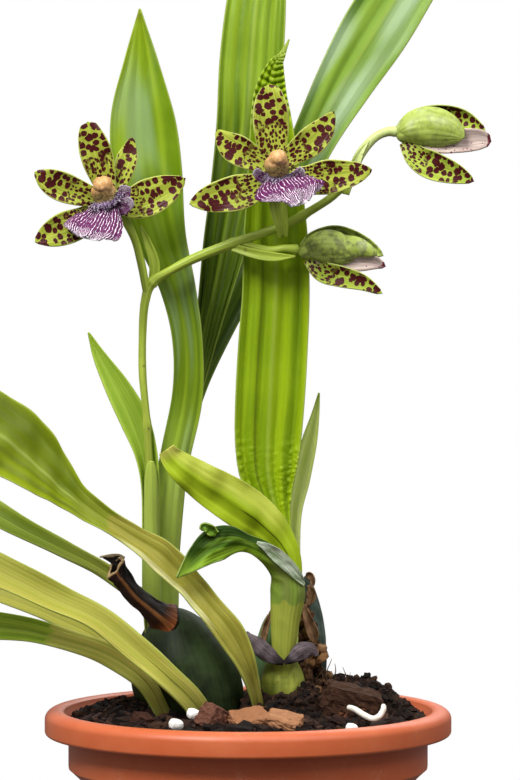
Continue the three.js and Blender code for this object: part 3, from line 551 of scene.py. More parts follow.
def add_strands(skin: Skin, path: Array, radius: Array, sides: int = 4) -> Skin:
    """Adds thin strands, each along its own path of points, tapered to its tip.

    Args:
        skin: Takes the strands.
        path: Points, (strands, points, 3), in millimetres.
        radius: Each strand's radius at its foot.
        sides: Points round a ring.

    Returns:
        The skin itself.
    """
    ring = ring_about(unit(np.gradient(path, axis=1)), (0.37, -0.83, 0.41), turns(sides))
    share = np.linspace(0, 1, path.shape[1])
    taper = radius[:, None] * (1 - 0.75 * share**2)
    points = path[:, :, None] + ring * taper[:, :, None, None]
    count = len(path)
    tone = np.random.default_rng(count).random(count)
    place = np.zeros(points.shape)
    place[..., 0] = tone[:, None, None]
    place[..., 1] = share[:, None]
    place[..., 2] = tone[:, None, None]
    return skin.add(points.reshape(count, -1, 3), shell_faces(path.shape[1], sides),
                    points.reshape(count, -1, 3), place.reshape(count, -1, 3))


# ---- Finishes -----------------------------------------------------------------------------


def tint(colour: int) -> tuple[float, float, float, float]:
    """A colour written as six hexadecimal digits, as the linear light that shaders take."""
    parts = [((colour >> shift) & 255) / 255 for shift in (16, 8, 0)]
    light = [p / 12.92 if p <= 0.04045 else ((p + 0.055) / 1.055) ** 2.4 for p in parts]
    return (*light, 1.0)


class Graph:
    """The shader nodes of one material or of the surround, each made from what feeds it.

    Every material can read its points' flat triple as flat and x, far, seed, their place triple
    as v, t, face, and their Object coordinates in metres as here.
    """

    def __init__(self, owner: bpy.types.Material | bpy.types.World) -> None:
        """Starts the empty graph of a new material or world, with its points' own numbers."""
        owner.use_nodes = True
        self.tree = owner.node_tree
        self.tree.nodes.clear()
        if isinstance(owner, bpy.types.Material):
            self.flat, self.x, self.far, self.seed = self.triple("flat")
            _, self.v, self.t, self.face = self.triple("place")
            self.here = self.node("ShaderNodeTexCoord", {}).outputs["Object"]

    def node(self, kind: str, feeds: dict[int | str, Feed], **settings: object) -> bpy.types.Node:
        """Makes a node.

        Args:
            kind: Blender's name of the node type.
            feeds: A socket or a constant for each input, by name or number.
            settings: Values of the node's own properties.

        Returns:
            The new node.
        """
        made = self.tree.nodes.new(kind)
        for key, value in settings.items():
            setattr(made, key, value)
        for key, value in feeds.items():
            if isinstance(value, bpy.types.NodeSocket):
                self.tree.links.new(value, made.inputs[key])
            else:
                made.inputs[key].default_value = value
        return made

    def triple(self, name: str) -> tuple[Socket, ...]:
        """A point attribute: its vector, and its three numbers."""
        vector = self.node("ShaderNodeAttribute", {}, attribute_name=name).outputs["Vector"]
        return (vector, *self.apart(vector))

    def apart(self, vector: Feed) -> Sequence[Socket]:
        """A vector's three numbers."""
        return self.node("ShaderNodeSeparateXYZ", {0: vector}).outputs

    def math(self, operation: str, a: Feed, b: Feed = 0.0, c: Feed = 0.0) -> Socket:
        """One sum on numbers."""
        return self.node("ShaderNodeMath", {0: a, 1: b, 2: c}, operation=operation).outputs[0]

    def times(self, a: Feed, b: Feed) -> Socket:
        """The product a b."""
        return self.math("MULTIPLY", a, b)

    def line(self, a: Feed, b: Feed, c: Feed) -> Socket:
        """The straight line a b + c."""
        return self.math("MULTIPLY_ADD", a, b, c)

    def less(self, a: Feed, b: Feed) -> Socket:
        """The difference a - b."""
        return self.math("SUBTRACT", a, b)

    def size(self, a: Feed) -> Socket:
        """A number without its sign."""
        return self.math("ABSOLUTE", a)

    def join(self, x: Feed, y: Feed, z: Feed) -> Socket:
        """A vector from three numbers."""
        return self.node("ShaderNodeCombineXYZ", {0: x, 1: y, 2: z}).outputs[0]

    def step(self, value: Feed, low: Feed, high: Feed) -> Socket:
        """A soft step of a number from 0 at low to 1 at high."""
        feeds = {"Value": value, "From Min": low, "From Max": high}
        return self.node("ShaderNodeMapRange", feeds, interpolation_type="SMOOTHSTEP").outputs[0]

    def between(self, value: Feed, rise: Row, fall: Row) -> Socket:
        """1 between two soft steps, one up over the span rise and one down over the span fall."""
        return self.times(self.step(value, *rise), self.step(value, fall[1], fall[0]))

    def mix(self, share: Feed, a: Feed, b: Feed) -> Socket:
        """Colour a turned into colour b by a share."""
        feeds = {0: share, 6: tint(a) if isinstance(a, int) else a,
                 7: tint(b) if isinstance(b, int) else b}
        return self.node("ShaderNodeMix", feeds, data_type="RGBA").outputs[2]

    def over(self, ground: Feed, colour: Feed, mask: Feed, amount: float) -> Socket:
        """A colour laid over the ground where the mask is, by the mask times an amount."""
        return self.mix(self.times(mask, amount), ground, colour)

    def noise(self, vector: Feed, scale: float, detail: float = 2.0, roughness: float = 0.5) -> Socket:
        """Cloudy noise from 0 to 1."""
        feeds = {"Vector": vector, "Scale": scale, "Detail": detail, "Roughness": roughness}
        return self.node("ShaderNodeTexNoise", feeds).outputs[0]

    def streaks(self, across: Feed, fine: float, along: Feed, long: float, seed: Feed,
                detail: float = 2.0, roughness: float = 0.5) -> Socket:
        """Noise stretched lengthwise: of across times fine, along times long, and a seed."""
        lines = self.join(self.times(across, fine), self.times(along, long), seed)
        return self.noise(lines, 1.0, detail, roughness)

    def cells(self, vector: Feed, scale: float) -> Socket:
        """Distance from each point to the nearest of the scattered middles."""
        feeds = {"Vector": vector, "Scale": scale}
        return self.node("ShaderNodeTexVoronoi", feeds).outputs["Distance"]

    def shifted(self, vector: Feed, scale: float, detail: float, amount: float) -> Socket:
        """A vector moved by amount times three cloudy noises, each around its middle."""
        feeds = {"Vector": self.flat, "Scale": scale, "Detail": detail}
        cloud = self.node("ShaderNodeTexNoise", feeds).outputs[1]
        push = self.node("ShaderNodeVectorMath", {0: cloud, 1: (0.5,) * 3}, operation="SUBTRACT")
        feeds = {0: push.outputs[0], 1: (amount,) * 3, 2: vector}
        return self.node("ShaderNodeVectorMath", feeds, operation="MULTIPLY_ADD").outputs[0]

    def relief(self, height: Feed, depth: float, under: Feed = None) -> Socket:
        """Surface relief depth metres deep, laid over another where one is given."""
        feeds = {"Height": height, "Distance": depth, "Strength": 1.0}
        if under is not None:
            feeds["Normal"] = under
        return self.node("ShaderNodeBump", feeds).outputs[0]

    def finish(self, colour: Feed, roughness: Feed, normal: Feed, gloss: float = 0.5,
               flesh: Row = ()) -> None:
        """Ends the graph in one surface shader.

        Args:
            colour: The colour of the surface.
            roughness: 0 for a mirror, 1 for chalk.
            normal: The relief.
            gloss: Strength of the mirror-like part.
            flesh: The share of light that goes in under the skin, how deep it goes in metres,
                and how far the red, the green and the blue of it go.
        """
        feeds = {"Base Color": colour, "Roughness": roughness, "Normal": normal,
                 "Specular IOR Level": gloss}
        if flesh:
            feeds |= {"Subsurface Weight": flesh[0], "Subsurface Scale": flesh[1],
                      "Subsurface Radius": flesh[2:]}
        shader = self.node("ShaderNodeBsdfPrincipled", feeds)
        shader.subsurface_method = "RANDOM_WALK"
        self.node("ShaderNodeOutputMaterial", {0: shader.outputs[0]})


@dataclass(frozen=True)
class Finish:
    """What a surface looks like. Each kind of finish paints its own graph."""

    name: str

    def paint(self, g: Graph) -> None:
        """Fills the graph."""
        raise NotImplementedError

    def material(self) -> bpy.types.Material:
        """The finish's material, made the first time that it is asked for."""
        found = bpy.data.materials.get(self.name)
        if found is None:
            found = bpy.data.materials.new(self.name)
            self.paint(Graph(found))
        return found


@dataclass(frozen=True)
class LeafFinish(Finish):
    """A living blade: broad bands, fine veins, a stalk of its own colour and a satin skin.

    Bands and veins are noise in the share across, stretched along the blade. The stalk's colour
    gives way to the blade's at a share of the length. A stretch between two shares takes the dusk
    colour: painted shade on the tall leaves, whose lower blades lie in shadow, and a band of another
    tone on the others. Pale streaks are partly waxy bloom and partly a painted sheen highlight, and
    the fold line is painted shade in a crease.
    """

    light: int = 0x93AC1C
    deep: int = 0x6C8808
    foot: int = 0xA8AE4C
    tip: int = 0x86A010
    joint: float = 0.1
    blur: float = 0.1
    bands: float = 2.2
    veins: float = 0.18
    crease: float = 0.25
    # Pale streaks over the blade: partly waxy bloom, partly a painted sheen highlight.
    wax_and_sheen: float = 0.0
    wax_and_sheen_colour: int = 0x9AB684
    # The dusk colour fills a stretch between two shares: painted shade on shadowed lower blades, another
    # tone elsewhere.
    dusk: float = 0.0
    dusk_span: Row = (0.2, 0.6)
    dusk_blur: float = 0.12
    dusk_colour: int = 0x324408
    hem: int = 0
    hem_span: Row = (0.2, 0.4)
    base: float = 0.0
    brow: int = 0
    brow_span: Row = (0.5, 0.85)
    streak: float = 0.3
    # A dark broken line along a fold: painted shade in the crease.
    fold_line: float = 0.0
    fold_at: float = -0.1
    fold_to: float = 1.0
    spot: float = 0.0
    rough: float = 0.46
    through: float = 0.18
    margin: int = 0xA9B85A
    gloss: float = 0.2

    def paint(self, g: Graph) -> None:
        """Fills the graph."""
        bent = g.line(g.noise(g.flat, 0.02, 1.0), 0.4, g.v)
        lines = g.join(g.times(bent, self.bands), g.times(g.far, 0.004), g.seed)
        band = g.step(g.noise(lines, 1.1, 1.0, 0.5), 0.3, 0.7)
        veins = g.streaks(g.v, 14.0, g.far, 0.008, g.seed, 2.0, 0.6)
        cloud = g.noise(g.flat, 0.05, 3.0, 0.55)
        green = g.mix(band, self.deep, self.light)
        green = g.over(green, self.deep, g.step(veins, 0.45, 0.75), self.veins)
        green = g.over(green, self.light, g.step(cloud, 0.4, 0.7), 0.3)
        green = g.over(green, self.margin, g.step(g.size(g.v), 0.09, 0.0), self.crease)
        # Pale streaks: partly waxy bloom, partly a painted sheen highlight.
        if self.wax_and_sheen:
            share = g.step(g.streaks(g.v, 1.1, g.far, 0.02, g.seed, 1.0), 0.45, 0.7)
            green = g.over(green, self.wax_and_sheen_colour, share, self.wax_and_sheen)
        # The dusk stretch: painted shade on the tall leaves' shadowed lower blades, a band of another tone
        # on the others.
        if self.dusk:
            low, high = self.dusk_span
            share = g.between(g.t, (low - 0.08, low), (high, high + self.dusk_blur))
            share = g.times(share, g.line(band, -0.5 * self.dusk, self.dusk))
            green = g.mix(share, green, self.dusk_colour)
        start = g.line(g.less(band, 0.5), 0.02, g.t)
        stalk = g.step(start, self.joint + self.blur, self.joint)
        pale = g.mix(g.times(g.step(veins, 0.42, 0.7), self.streak), self.foot, self.deep)
        pale = g.over(pale, self.deep, g.step(band, 0.7, 0.2), self.streak * 0.8)
        if self.base:
            pale = g.over(pale, 0x42381A, g.step(g.line(veins, 0.12, g.t), 0.27, 0.06), self.base)
        green = g.mix(stalk, green, pale)
        if self.hem:
            low, high = self.hem_span
            share = g.between(g.t, (low - 0.05, low), (high, high + 0.04))
            green = g.mix(g.times(share, g.step(g.v, -0.5, -0.7)), green, self.hem)
        if self.brow:
            low, high = self.brow_span
            share = g.between(g.t, (low - 0.06, low + 0.04), (high - 0.04, high + 0.06))
            above = g.step(g.line(cloud, 0.7, g.v), 0.3, 0.75)
            green = g.over(green, self.brow, g.times(share, above), 0.85)
        # A dark broken line along a fold: painted shade in the crease.
        if self.fold_line:
            line = g.step(g.size(g.less(g.v, self.fold_at)), 0.05, 0.02)
            line = g.times(line, g.step(g.t, self.fold_to + 0.04, self.fold_to))
            line = g.times(line, g.step(g.noise(lines, 3.0, 2.0), 0.35, 0.5))
            green = g.over(green, 0x3C4408, line, self.fold_line)
        green = g.over(green, self.tip, g.step(g.t, 0.86, 1.0), 0.7)
        green = g.over(green, self.margin, g.step(g.size(g.v), 0.95, 1.0), 0.5)
        if self.spot:
            mark = g.cells(g.shifted(g.flat, 0.4, 1.0, 5.0), 0.03)
            green = g.over(green, 0x6B4A1E, g.step(mark, 0.14, 0.03), self.spot)
        bumps = g.relief(g.line(veins, 0.6, band), 0.00016)
        bumps = g.relief(g.noise(g.flat, 2.2, 3.0, 0.6), 0.00004, bumps)
        rough = g.line(g.noise(g.flat, 0.3, 2.0), 0.2, self.rough - 0.1)
        g.finish(green, rough, bumps, gloss=self.gloss, flesh=(self.through, 0.0012, 0.9, 1.0, 0.2))


@dataclass(frozen=True)
class TepalFinish(Finish):
    """A yellow-green tepal with maroon marks: short rows near its foot, blotches near its tip.

    Each set of marks is a scatter of dots in cells, stretched across or along. A dot's radius
    comes from its cell's chance number, and noise bends its outline.
    """

    ground: int = 0xB6C04A
    shade: int = 0x9CA834
    mark: int = 0x3A0C0E
    mark_light: int = 0x54181A

    def islands(self, g: Graph, across: float, along: float, least: float) -> Socket:
        """One set of marks, 1 inside a mark: round dots that run together where they are close.

        Args:
            g: The graph.
            across: Cells to a millimetre across the tepal.
            along: Cells to a millimetre along it.
            least: Radius of the smallest dot, as a share of a cell.

        Returns:
            The set's mask.
        """
        spot = g.join(g.line(g.x, across, g.seed), g.times(g.far, along), 0.0)
        feeds = {"Vector": g.shifted(spot, 0.9, 2.0, 0.3), "Scale": 1.0, "Randomness": 0.9}
        cell = g.node("ShaderNodeTexVoronoi", feeds, voronoi_dimensions="2D").outputs
        chance = g.apart(cell["Color"])[0]
        size = g.line(chance, 0.34, least)
        return g.step(cell["Distance"], size, g.less(size, 0.07))

    def paint(self, g: Graph) -> None:
        """Fills the graph."""
        turn = g.line(g.noise(g.flat, 0.3, 1.0), 0.3, g.t)
        near = self.islands(g, 0.8, 0.56, 0.27)
        far_out = self.islands(g, 0.33, 0.42, 0.32)
        marks = g.math("MAXIMUM", g.times(near, g.step(turn, 0.58, 0.52)),
                       g.times(far_out, g.step(turn, 0.5, 0.56)))
        marks = g.times(marks, g.step(g.size(g.v), 0.97, 0.91))
        veins = g.streaks(g.v, 8.0, g.far, 0.03, g.seed)
        ground = g.mix(g.step(veins, 0.35, 0.7), self.shade, self.ground)
        ground = g.over(ground, 0xCBCF7A, g.step(g.t, 0.25, 0.0), 0.4)
        ground = g.over(ground, 0xD5D79A, g.step(g.size(g.v), 0.93, 1.0), 0.4)
        dark = g.mix(g.noise(g.flat, 0.5, 2.0), self.mark, self.mark_light)
        colour = g.mix(marks, ground, dark)
        bumps = g.relief(g.line(marks, 0.2, veins), 0.00012)
        g.finish(colour, g.line(marks, -0.06, 0.45), bumps, gloss=0.2,
                 flesh=(0.12, 0.0006, 1.0, 0.9, 0.3))


@dataclass(frozen=True)
class HoodFinish(Finish):
    """The outside of a bud's sepal: pale green, with faint grey-purple mottling, veins and patches of
    painted sheen.
    """

    light: int = 0xAEC05E
    deep: int = 0x9EB048
    cloud: float = 0.35

    def paint(self, g: Graph) -> None:
        """Fills the graph."""
        veins = g.streaks(g.v, 7.0, g.far, 0.04, g.seed)
        green = g.mix(g.step(veins, 0.35, 0.7), self.deep, self.light)
        blur = g.noise(g.flat, 0.36, 3.0, 0.6)
        green = g.over(green, 0x4A4632, g.step(blur, 0.45, 0.62), self.cloud)
        fleck = g.step(g.cells(g.flat, 1.1), 0.26, 0.14)
        green = g.over(green, 0x54283A, fleck, 0.4 * self.cloud)
        # Pale patches: a painted sheen highlight.
        sheen = g.step(g.noise(g.flat, 0.16, 1.0), 0.55, 0.75)
        green = g.over(green, 0xD6DFB4, sheen, 0.25)
        g.finish(green, 0.45, g.relief(veins, 0.00014), gloss=0.35,
                 flesh=(0.2, 0.001, 0.9, 1.0, 0.4))


@dataclass(frozen=True)
class PetalFinish(Finish):
    """A bud's furled petals: mauve-white with greyer streaks, maroon at the tip and in small specks on one
    side.
    """

    def paint(self, g: Graph) -> None:
        """Fills the graph."""
        veins = g.streaks(g.v, 5.0, g.far, 0.05, g.seed)
        pale = g.mix(g.step(veins, 0.35, 0.7), 0xB59C94, 0xD9C8BE)
        speck = g.step(g.cells(g.flat, 0.7), 0.24, 0.16)
        pale = g.mix(g.times(speck, g.step(g.v, -0.1, 0.5)), pale, 0x6A2434)
        uneven = g.line(g.noise(g.flat, 0.6, 2.0), 0.16, g.t)
        pale = g.mix(g.step(uneven, 0.96, 1.0), pale, 0x5E1824)
        g.finish(pale, 0.5, g.relief(veins, 0.0001), gloss=0.3, flesh=(0.25, 0.001, 1.0, 0.7, 0.6))


@dataclass(frozen=True)
class LipFinish(Finish):
    """A white lip with purple veins that fan out from its throat, fork and break into strokes."""

    ground: int = 0xFAEAF8
    vein: int = 0x5E0852
    throat: int = 0x4A0840
    veins: float = 10.0

    def paint(self, g: Graph) -> None:
        """Fills the graph."""
        wander = g.line(g.noise(g.flat, 0.55, 2.0), 0.14, g.v)
        wave = g.math("SINE", g.times(wander, self.veins * 2 * math.pi))
        fork = g.math("SINE", g.times(wander, self.veins * 3.6 * math.pi))
        forked = g.step(g.t, 0.55, 0.75)
        lines = g.math("ADD", g.times(wave, g.less(1.0, forked)), g.times(fork, forked))
        breaks = g.noise(g.flat, 1.1, 2.0, 0.6)
        fill = g.line(g.step(g.t, 0.55, 1.0), 0.6, -0.78)
        fill = g.line(g.less(0.5, breaks), 1.9, fill)
        marks = g.step(lines, g.less(fill, 0.32), g.math("ADD", fill, 0.12))
        edge = g.line(g.size(g.v), 0.02, g.t)
        marks = g.times(marks, g.step(edge, 1.0, 0.93))
        purple = g.mix(g.step(g.t, 0.1, 0.6), self.throat, self.vein)
        colour = g.mix(marks, self.ground, purple)
        colour = g.over(colour, 0xD9C8DE, g.step(g.face, 0.2, -0.2), 0.6)
        bumps = g.relief(g.line(lines, 0.5, breaks), 0.00022)
        g.finish(colour, 0.5, bumps, gloss=0.35, flesh=(0.15, 0.0006, 1.0, 0.6, 1.0))


@dataclass(frozen=True)
class ColumnFinish(Finish):
    """The waxy column: peach over its cap, olive-brown and dotted underneath.

    The colours change with height, over a span that starts at low, in metres.
    """

    low: float = 0.3
    span: float = 0.01

    def paint(self, g: Graph) -> None:
        """Fills the graph."""
        uneven = g.line(g.noise(g.here, 300.0, 2.0), 0.004, g.apart(g.here)[2])
        cap = g.step(uneven, self.low + self.span * 0.45, self.low + self.span * 0.8)
        dots = g.step(g.cells(g.here, 1300.0), 0.42, 0.26)
        brown = g.mix(g.times(dots, 0.85), 0x847040, 0x3A2020)
        peach = g.mix(g.noise(g.here, 420.0, 2.0), 0xE2BC86, 0xC98A4E)
        colour = g.mix(cap, brown, peach)
        bumps = g.relief(g.noise(g.here, 700.0, 3.0), 0.00016)
        g.finish(colour, 0.4, bumps, gloss=0.4, flesh=(0.2, 0.001, 1.0, 0.6, 0.3))


@dataclass(frozen=True)
class CallusFinish(Finish):
    """The ribbed callus: grey-violet, darker between its ribs."""

    def paint(self, g: Graph) -> None:
        """Fills the graph."""
        ribs = g.math("SINE", g.times(g.far, 5.4))
        dark = g.step(g.line(g.noise(g.flat, 1.2, 3.0), 3.0, ribs), 0.9, 2.2)
        colour = g.mix(dark, 0x8E7298, 0x4A2456)
        g.finish(colour, 0.6, g.relief(ribs, 0.0002), flesh=(0.15, 0.0008, 1.0, 0.6, 1.0))


@dataclass(frozen=True)
class HairFinish(Finish):
    """Fine hairs, from grey-violet at the root to white at the tip."""

    def paint(self, g: Graph) -> None:
        """Fills the graph."""
        shade = g.mix(g.step(g.t, 0.0, 0.8), 0x8A6A94, 0xE4DAE6)
        g.finish(shade, 0.6, g.relief(g.noise(g.here, 900.0), 0.00002), gloss=0.3)


@dataclass(frozen=True)
class StalkFinish(Finish):
    """The smooth green stalk, a little browner at its foot, and paler at its far right end, where a
    highlight is painted.
    """

    light: int = 0xBACC50
    deep: int = 0x96AA36
    foot: int = 0x7C7238
    pale: int = 0xCDDA94
    highlight_from: float = 0.034
    low: float = 0.12
    high: float = 0.27

    def paint(self, g: Graph) -> None:
        """Fills the graph."""
        sideways, _, height = g.apart(g.here)
        streak = g.streaks(g.x, 0.9, g.far, 0.03, g.seed, 3.0, 0.6)
        green = g.mix(g.step(streak, 0.35, 0.7), self.deep, self.light)
        green = g.over(green, self.foot, g.step(height, self.high, self.low), 0.6)
        # Painted highlight: the stalk is paler from a set distance to the right, near the upper bud.
        far_end = g.step(sideways, self.highlight_from, self.highlight_from + 0.006)
        green = g.over(green, self.pale, far_end, 0.75)
        fleck = g.step(g.cells(g.here, 190.0), 0.16, 0.08)
        green = g.over(green, 0x5A4A30, fleck, 0.5)
        g.finish(green, 0.4, g.relief(streak, 0.00012), gloss=0.35, flesh=(0.2, 0.0012, 0.9, 1.0, 0.3))


@dataclass(frozen=True)
class BulbFinish(Finish):
    """A pseudobulb's tough skin: cloudy green with upright streaks and dry brown scars."""

    dark: int = 0x11190A
    light: int = 0x2C3A1C
    scar: int = 0x54412C
    scars: float = 0.2
    foot: int = 0x1E1A10
    rough: float = 0.55

    def paint(self, g: Graph) -> None:
        """Fills the graph."""
        cloud = g.noise(g.here, 75.0, 4.0, 0.6)
        streak = g.streaks(g.x, 0.8, g.far, 0.05, g.seed, 3.0, 0.6)
        green = g.mix(g.step(g.line(streak, 0.3, cloud), 0.46, 0.86), self.dark, self.light)
        dry = g.step(g.noise(g.here, 130.0, 5.0, 0.7), 0.62, 0.7)
        green = g.over(green, self.scar, dry, self.scars)
        base = g.step(g.line(cloud, 0.2, g.t), 0.34, 0.12)
        green = g.mix(base, green, self.foot)
        bumps = g.relief(g.line(dry, 0.4, streak), 0.00012)
        bumps = g.relief(g.noise(g.here, 900.0, 2.0), 0.00003, bumps)
        gloss = g.line(cloud, 0.25, self.rough - 0.1)
        g.finish(green, gloss, bumps, gloss=0.13, flesh=(0.08, 0.002, 0.6, 1.0, 0.5))


@dataclass(frozen=True)
class DryFinish(Finish):
    """Dry tissue: bracts, sheaths and old stems, fibrous along their length."""

    dark: int = 0x3E3028
    light: int = 0x8C7763
    foot: int = 0x6E4A2A
    foot_to: float = 0.0
    grain: float = 1.6
    rough: float = 0.8
    gloss: float = 0.3

    def paint(self, g: Graph) -> None:
        """Fills the graph."""
        fibre = g.streaks(g.x, self.grain, g.far, 0.09, g.seed, 4.0, 0.7)
        cloud = g.noise(g.flat, 0.22, 3.0, 0.6)
        share = g.step(g.line(cloud, 0.6, fibre), 0.55, 1.05)
        colour = g.mix(share, self.dark, self.light)
        if self.foot_to:
            foot = g.step(g.t, self.foot_to, self.foot_to * 0.3)
            colour = g.mix(foot, colour, g.mix(share, 0x1A1012, self.foot))
        g.finish(colour, self.rough, g.relief(fibre, 0.0005), gloss=self.gloss,
                 flesh=(0.05, 0.001, 1.0, 0.6, 0.4))


@dataclass(frozen=True)
class HuskFinish(Finish):
    """The dry hollow stem: near-black, with a tan cut edge, an orange foot and a painted ridge highlight.
    """

    def paint(self, g: Graph) -> None:
        """Fills the graph."""
        fibre = g.streaks(g.x, 1.1, g.far, 0.08, 0.0, 4.0, 0.7)
        dry = g.mix(g.step(fibre, 0.42, 0.74), 0x180B08, 0x4A221A)
        dry = g.over(dry, 0x100806, g.step(g.v, -0.05, 0.3), 0.88)
        # A narrow tan streak along the ridge that faces the camera: a painted highlight.
        ridge = g.times(g.step(g.face, -0.975, -0.998), g.step(fibre, 0.35, 0.55))
        dry = g.over(dry, 0x94602F, ridge, 0.6)
        foot = g.step(g.line(fibre, 0.2, g.t), 0.32, 0.12)
        dry = g.over(dry, g.mix(g.step(fibre, 0.4, 0.7), 0x70361A, 0xA2602C), foot, 0.9)
        dry = g.mix(g.step(g.t, 0.05, 0.025), dry, 0x22100A)
        dry = g.mix(g.between(g.t, (0.955, 0.985), (1.0, 1.03)), dry, 0xB8996E)
        # The inside of the hollow stem is painted near-black: painted shade in the hollow.
        dry = g.mix(g.step(g.t, 1.02, 1.08), dry, 0x0B0605)
        g.finish(dry, 0.55, g.relief(fibre, 0.0006), gloss=0.2)


@dataclass(frozen=True)
class BarkFinish(Finish):
    """Broken bark: each chip has its own tone, layered along its grain."""

    dark: int = 0x1C110C
    middle: int = 0x432A1D
    light: int = 0x7A5238
    grain: float = 0.5
    rough: float = 0.9

    def paint(self, g: Graph) -> None:
        """Fills the graph."""
        grain = g.join(g.times(g.x, 0.25), g.times(g.far, 0.6), g.times(g.seed, 1.6))
        layers = g.noise(grain, self.grain * 2, 4.0, 0.7)
        crumb = g.noise(g.flat, 0.9, 4.0, 0.7)
        own = g.line(g.v, 0.9, g.line(layers, 0.7, -0.35))
        colour = g.mix(g.step(own, 0.1, 0.7), self.dark, self.middle)
        colour = g.mix(g.step(own, 0.72, 1.15), colour, self.light)
        colour = g.over(colour, self.light, g.step(crumb, 0.55, 0.8), 0.35)
        bumps = g.relief(g.math("ADD", layers, crumb), 0.0009)
        g.finish(colour, self.rough, bumps, gloss=0.25)


@dataclass(frozen=True)
class SoilFinish(Finish):
    """The fine part of the mix between the chips: dark crumbs with pale specks."""

    def paint(self, g: Graph) -> None:
        """Fills the graph."""
        crumb = g.noise(g.here, 420.0, 5.0, 0.75)
        lump = g.cells(g.here, 240.0)
        colour = g.mix(g.step(crumb, 0.35, 0.7), 0x120B08, 0x3E281B)
        fleck = g.step(g.noise(g.here, 900.0, 2.0), 0.7, 0.76)
        colour = g.over(colour, 0x8E6B4C, fleck, 0.6)
        bumps = g.relief(g.less(crumb, lump), 0.0016)
        g.finish(colour, 0.95, bumps, gloss=0.2)


@dataclass(frozen=True)
class PlainFinish(Finish):
    """A pale grainy body, such as perlite or a live root's spongy coat."""

    light: int = 0xF1EEE6
    dark: int = 0xC9C2B4
    grain: float = 600.0
    depth: float = 0.0003
    rough: float = 0.85

    def paint(self, g: Graph) -> None:
        """Fills the graph."""
        grains = g.noise(g.here, self.grain, 4.0, 0.7)
        colour = g.mix(g.step(grains, 0.35, 0.65), self.dark, self.light)
        g.finish(colour, self.rough, g.relief(grains, self.depth), flesh=(0.1, 0.001, 1.0, 1.0, 0.9))


@dataclass(frozen=True)
class PotFinish(Finish):
    """Terracotta-coloured moulded plastic: satin, faintly mottled, specked with dust.

    Fine rings of uneven gloss run round it, as the mould leaves them.
    """

    colour: int = 0xC25C30
    warm: int = 0xCB6A40
    dust: int = 0x9A6448
    rough: float = 0.44

    def paint(self, g: Graph) -> None:
        """Fills the graph."""
        cloud = g.noise(g.here, 28.0, 4.0, 0.6)
        colour = g.mix(g.step(cloud, 0.35, 0.7), self.colour, self.warm)
        speck = g.step(g.noise(g.here, 700.0, 3.0, 0.7), 0.66, 0.74)
        colour = g.over(colour, self.dust, speck, 0.3)
        x, y, z = g.apart(g.here)
        rings = g.streaks(x, 14.0, y, 14.0, g.times(z, 900.0), 3.0, 0.6)
        scuff = g.step(g.noise(g.here, 95.0, 5.0, 0.7), 0.58, 0.72)
        colour = g.over(colour, 0xE3A384, scuff, 0.16)
        bumps = g.relief(g.line(rings, 0.4, g.noise(g.here, 1400.0, 2.0)), 0.00004)
        gloss = g.line(scuff, 0.16, g.line(rings, 0.1, self.rough - 0.05))
        g.finish(colour, gloss, bumps, flesh=(0.06, 0.002, 1.0, 0.5, 0.3))


@dataclass(frozen=True)
class FloorFinish(Finish):
    """A plain pale studio floor, faintly uneven."""

    def paint(self, g: Graph) -> None:
        """Fills the graph."""
        shade = g.noise(g.here, 3.0, 2.0)
        g.finish(g.mix(shade, 0xF4F4F2, 0xFAFAF9), 0.7, g.relief(shade, 0.0001))


# ---- Pot and mix --------------------------------------------------------------------------


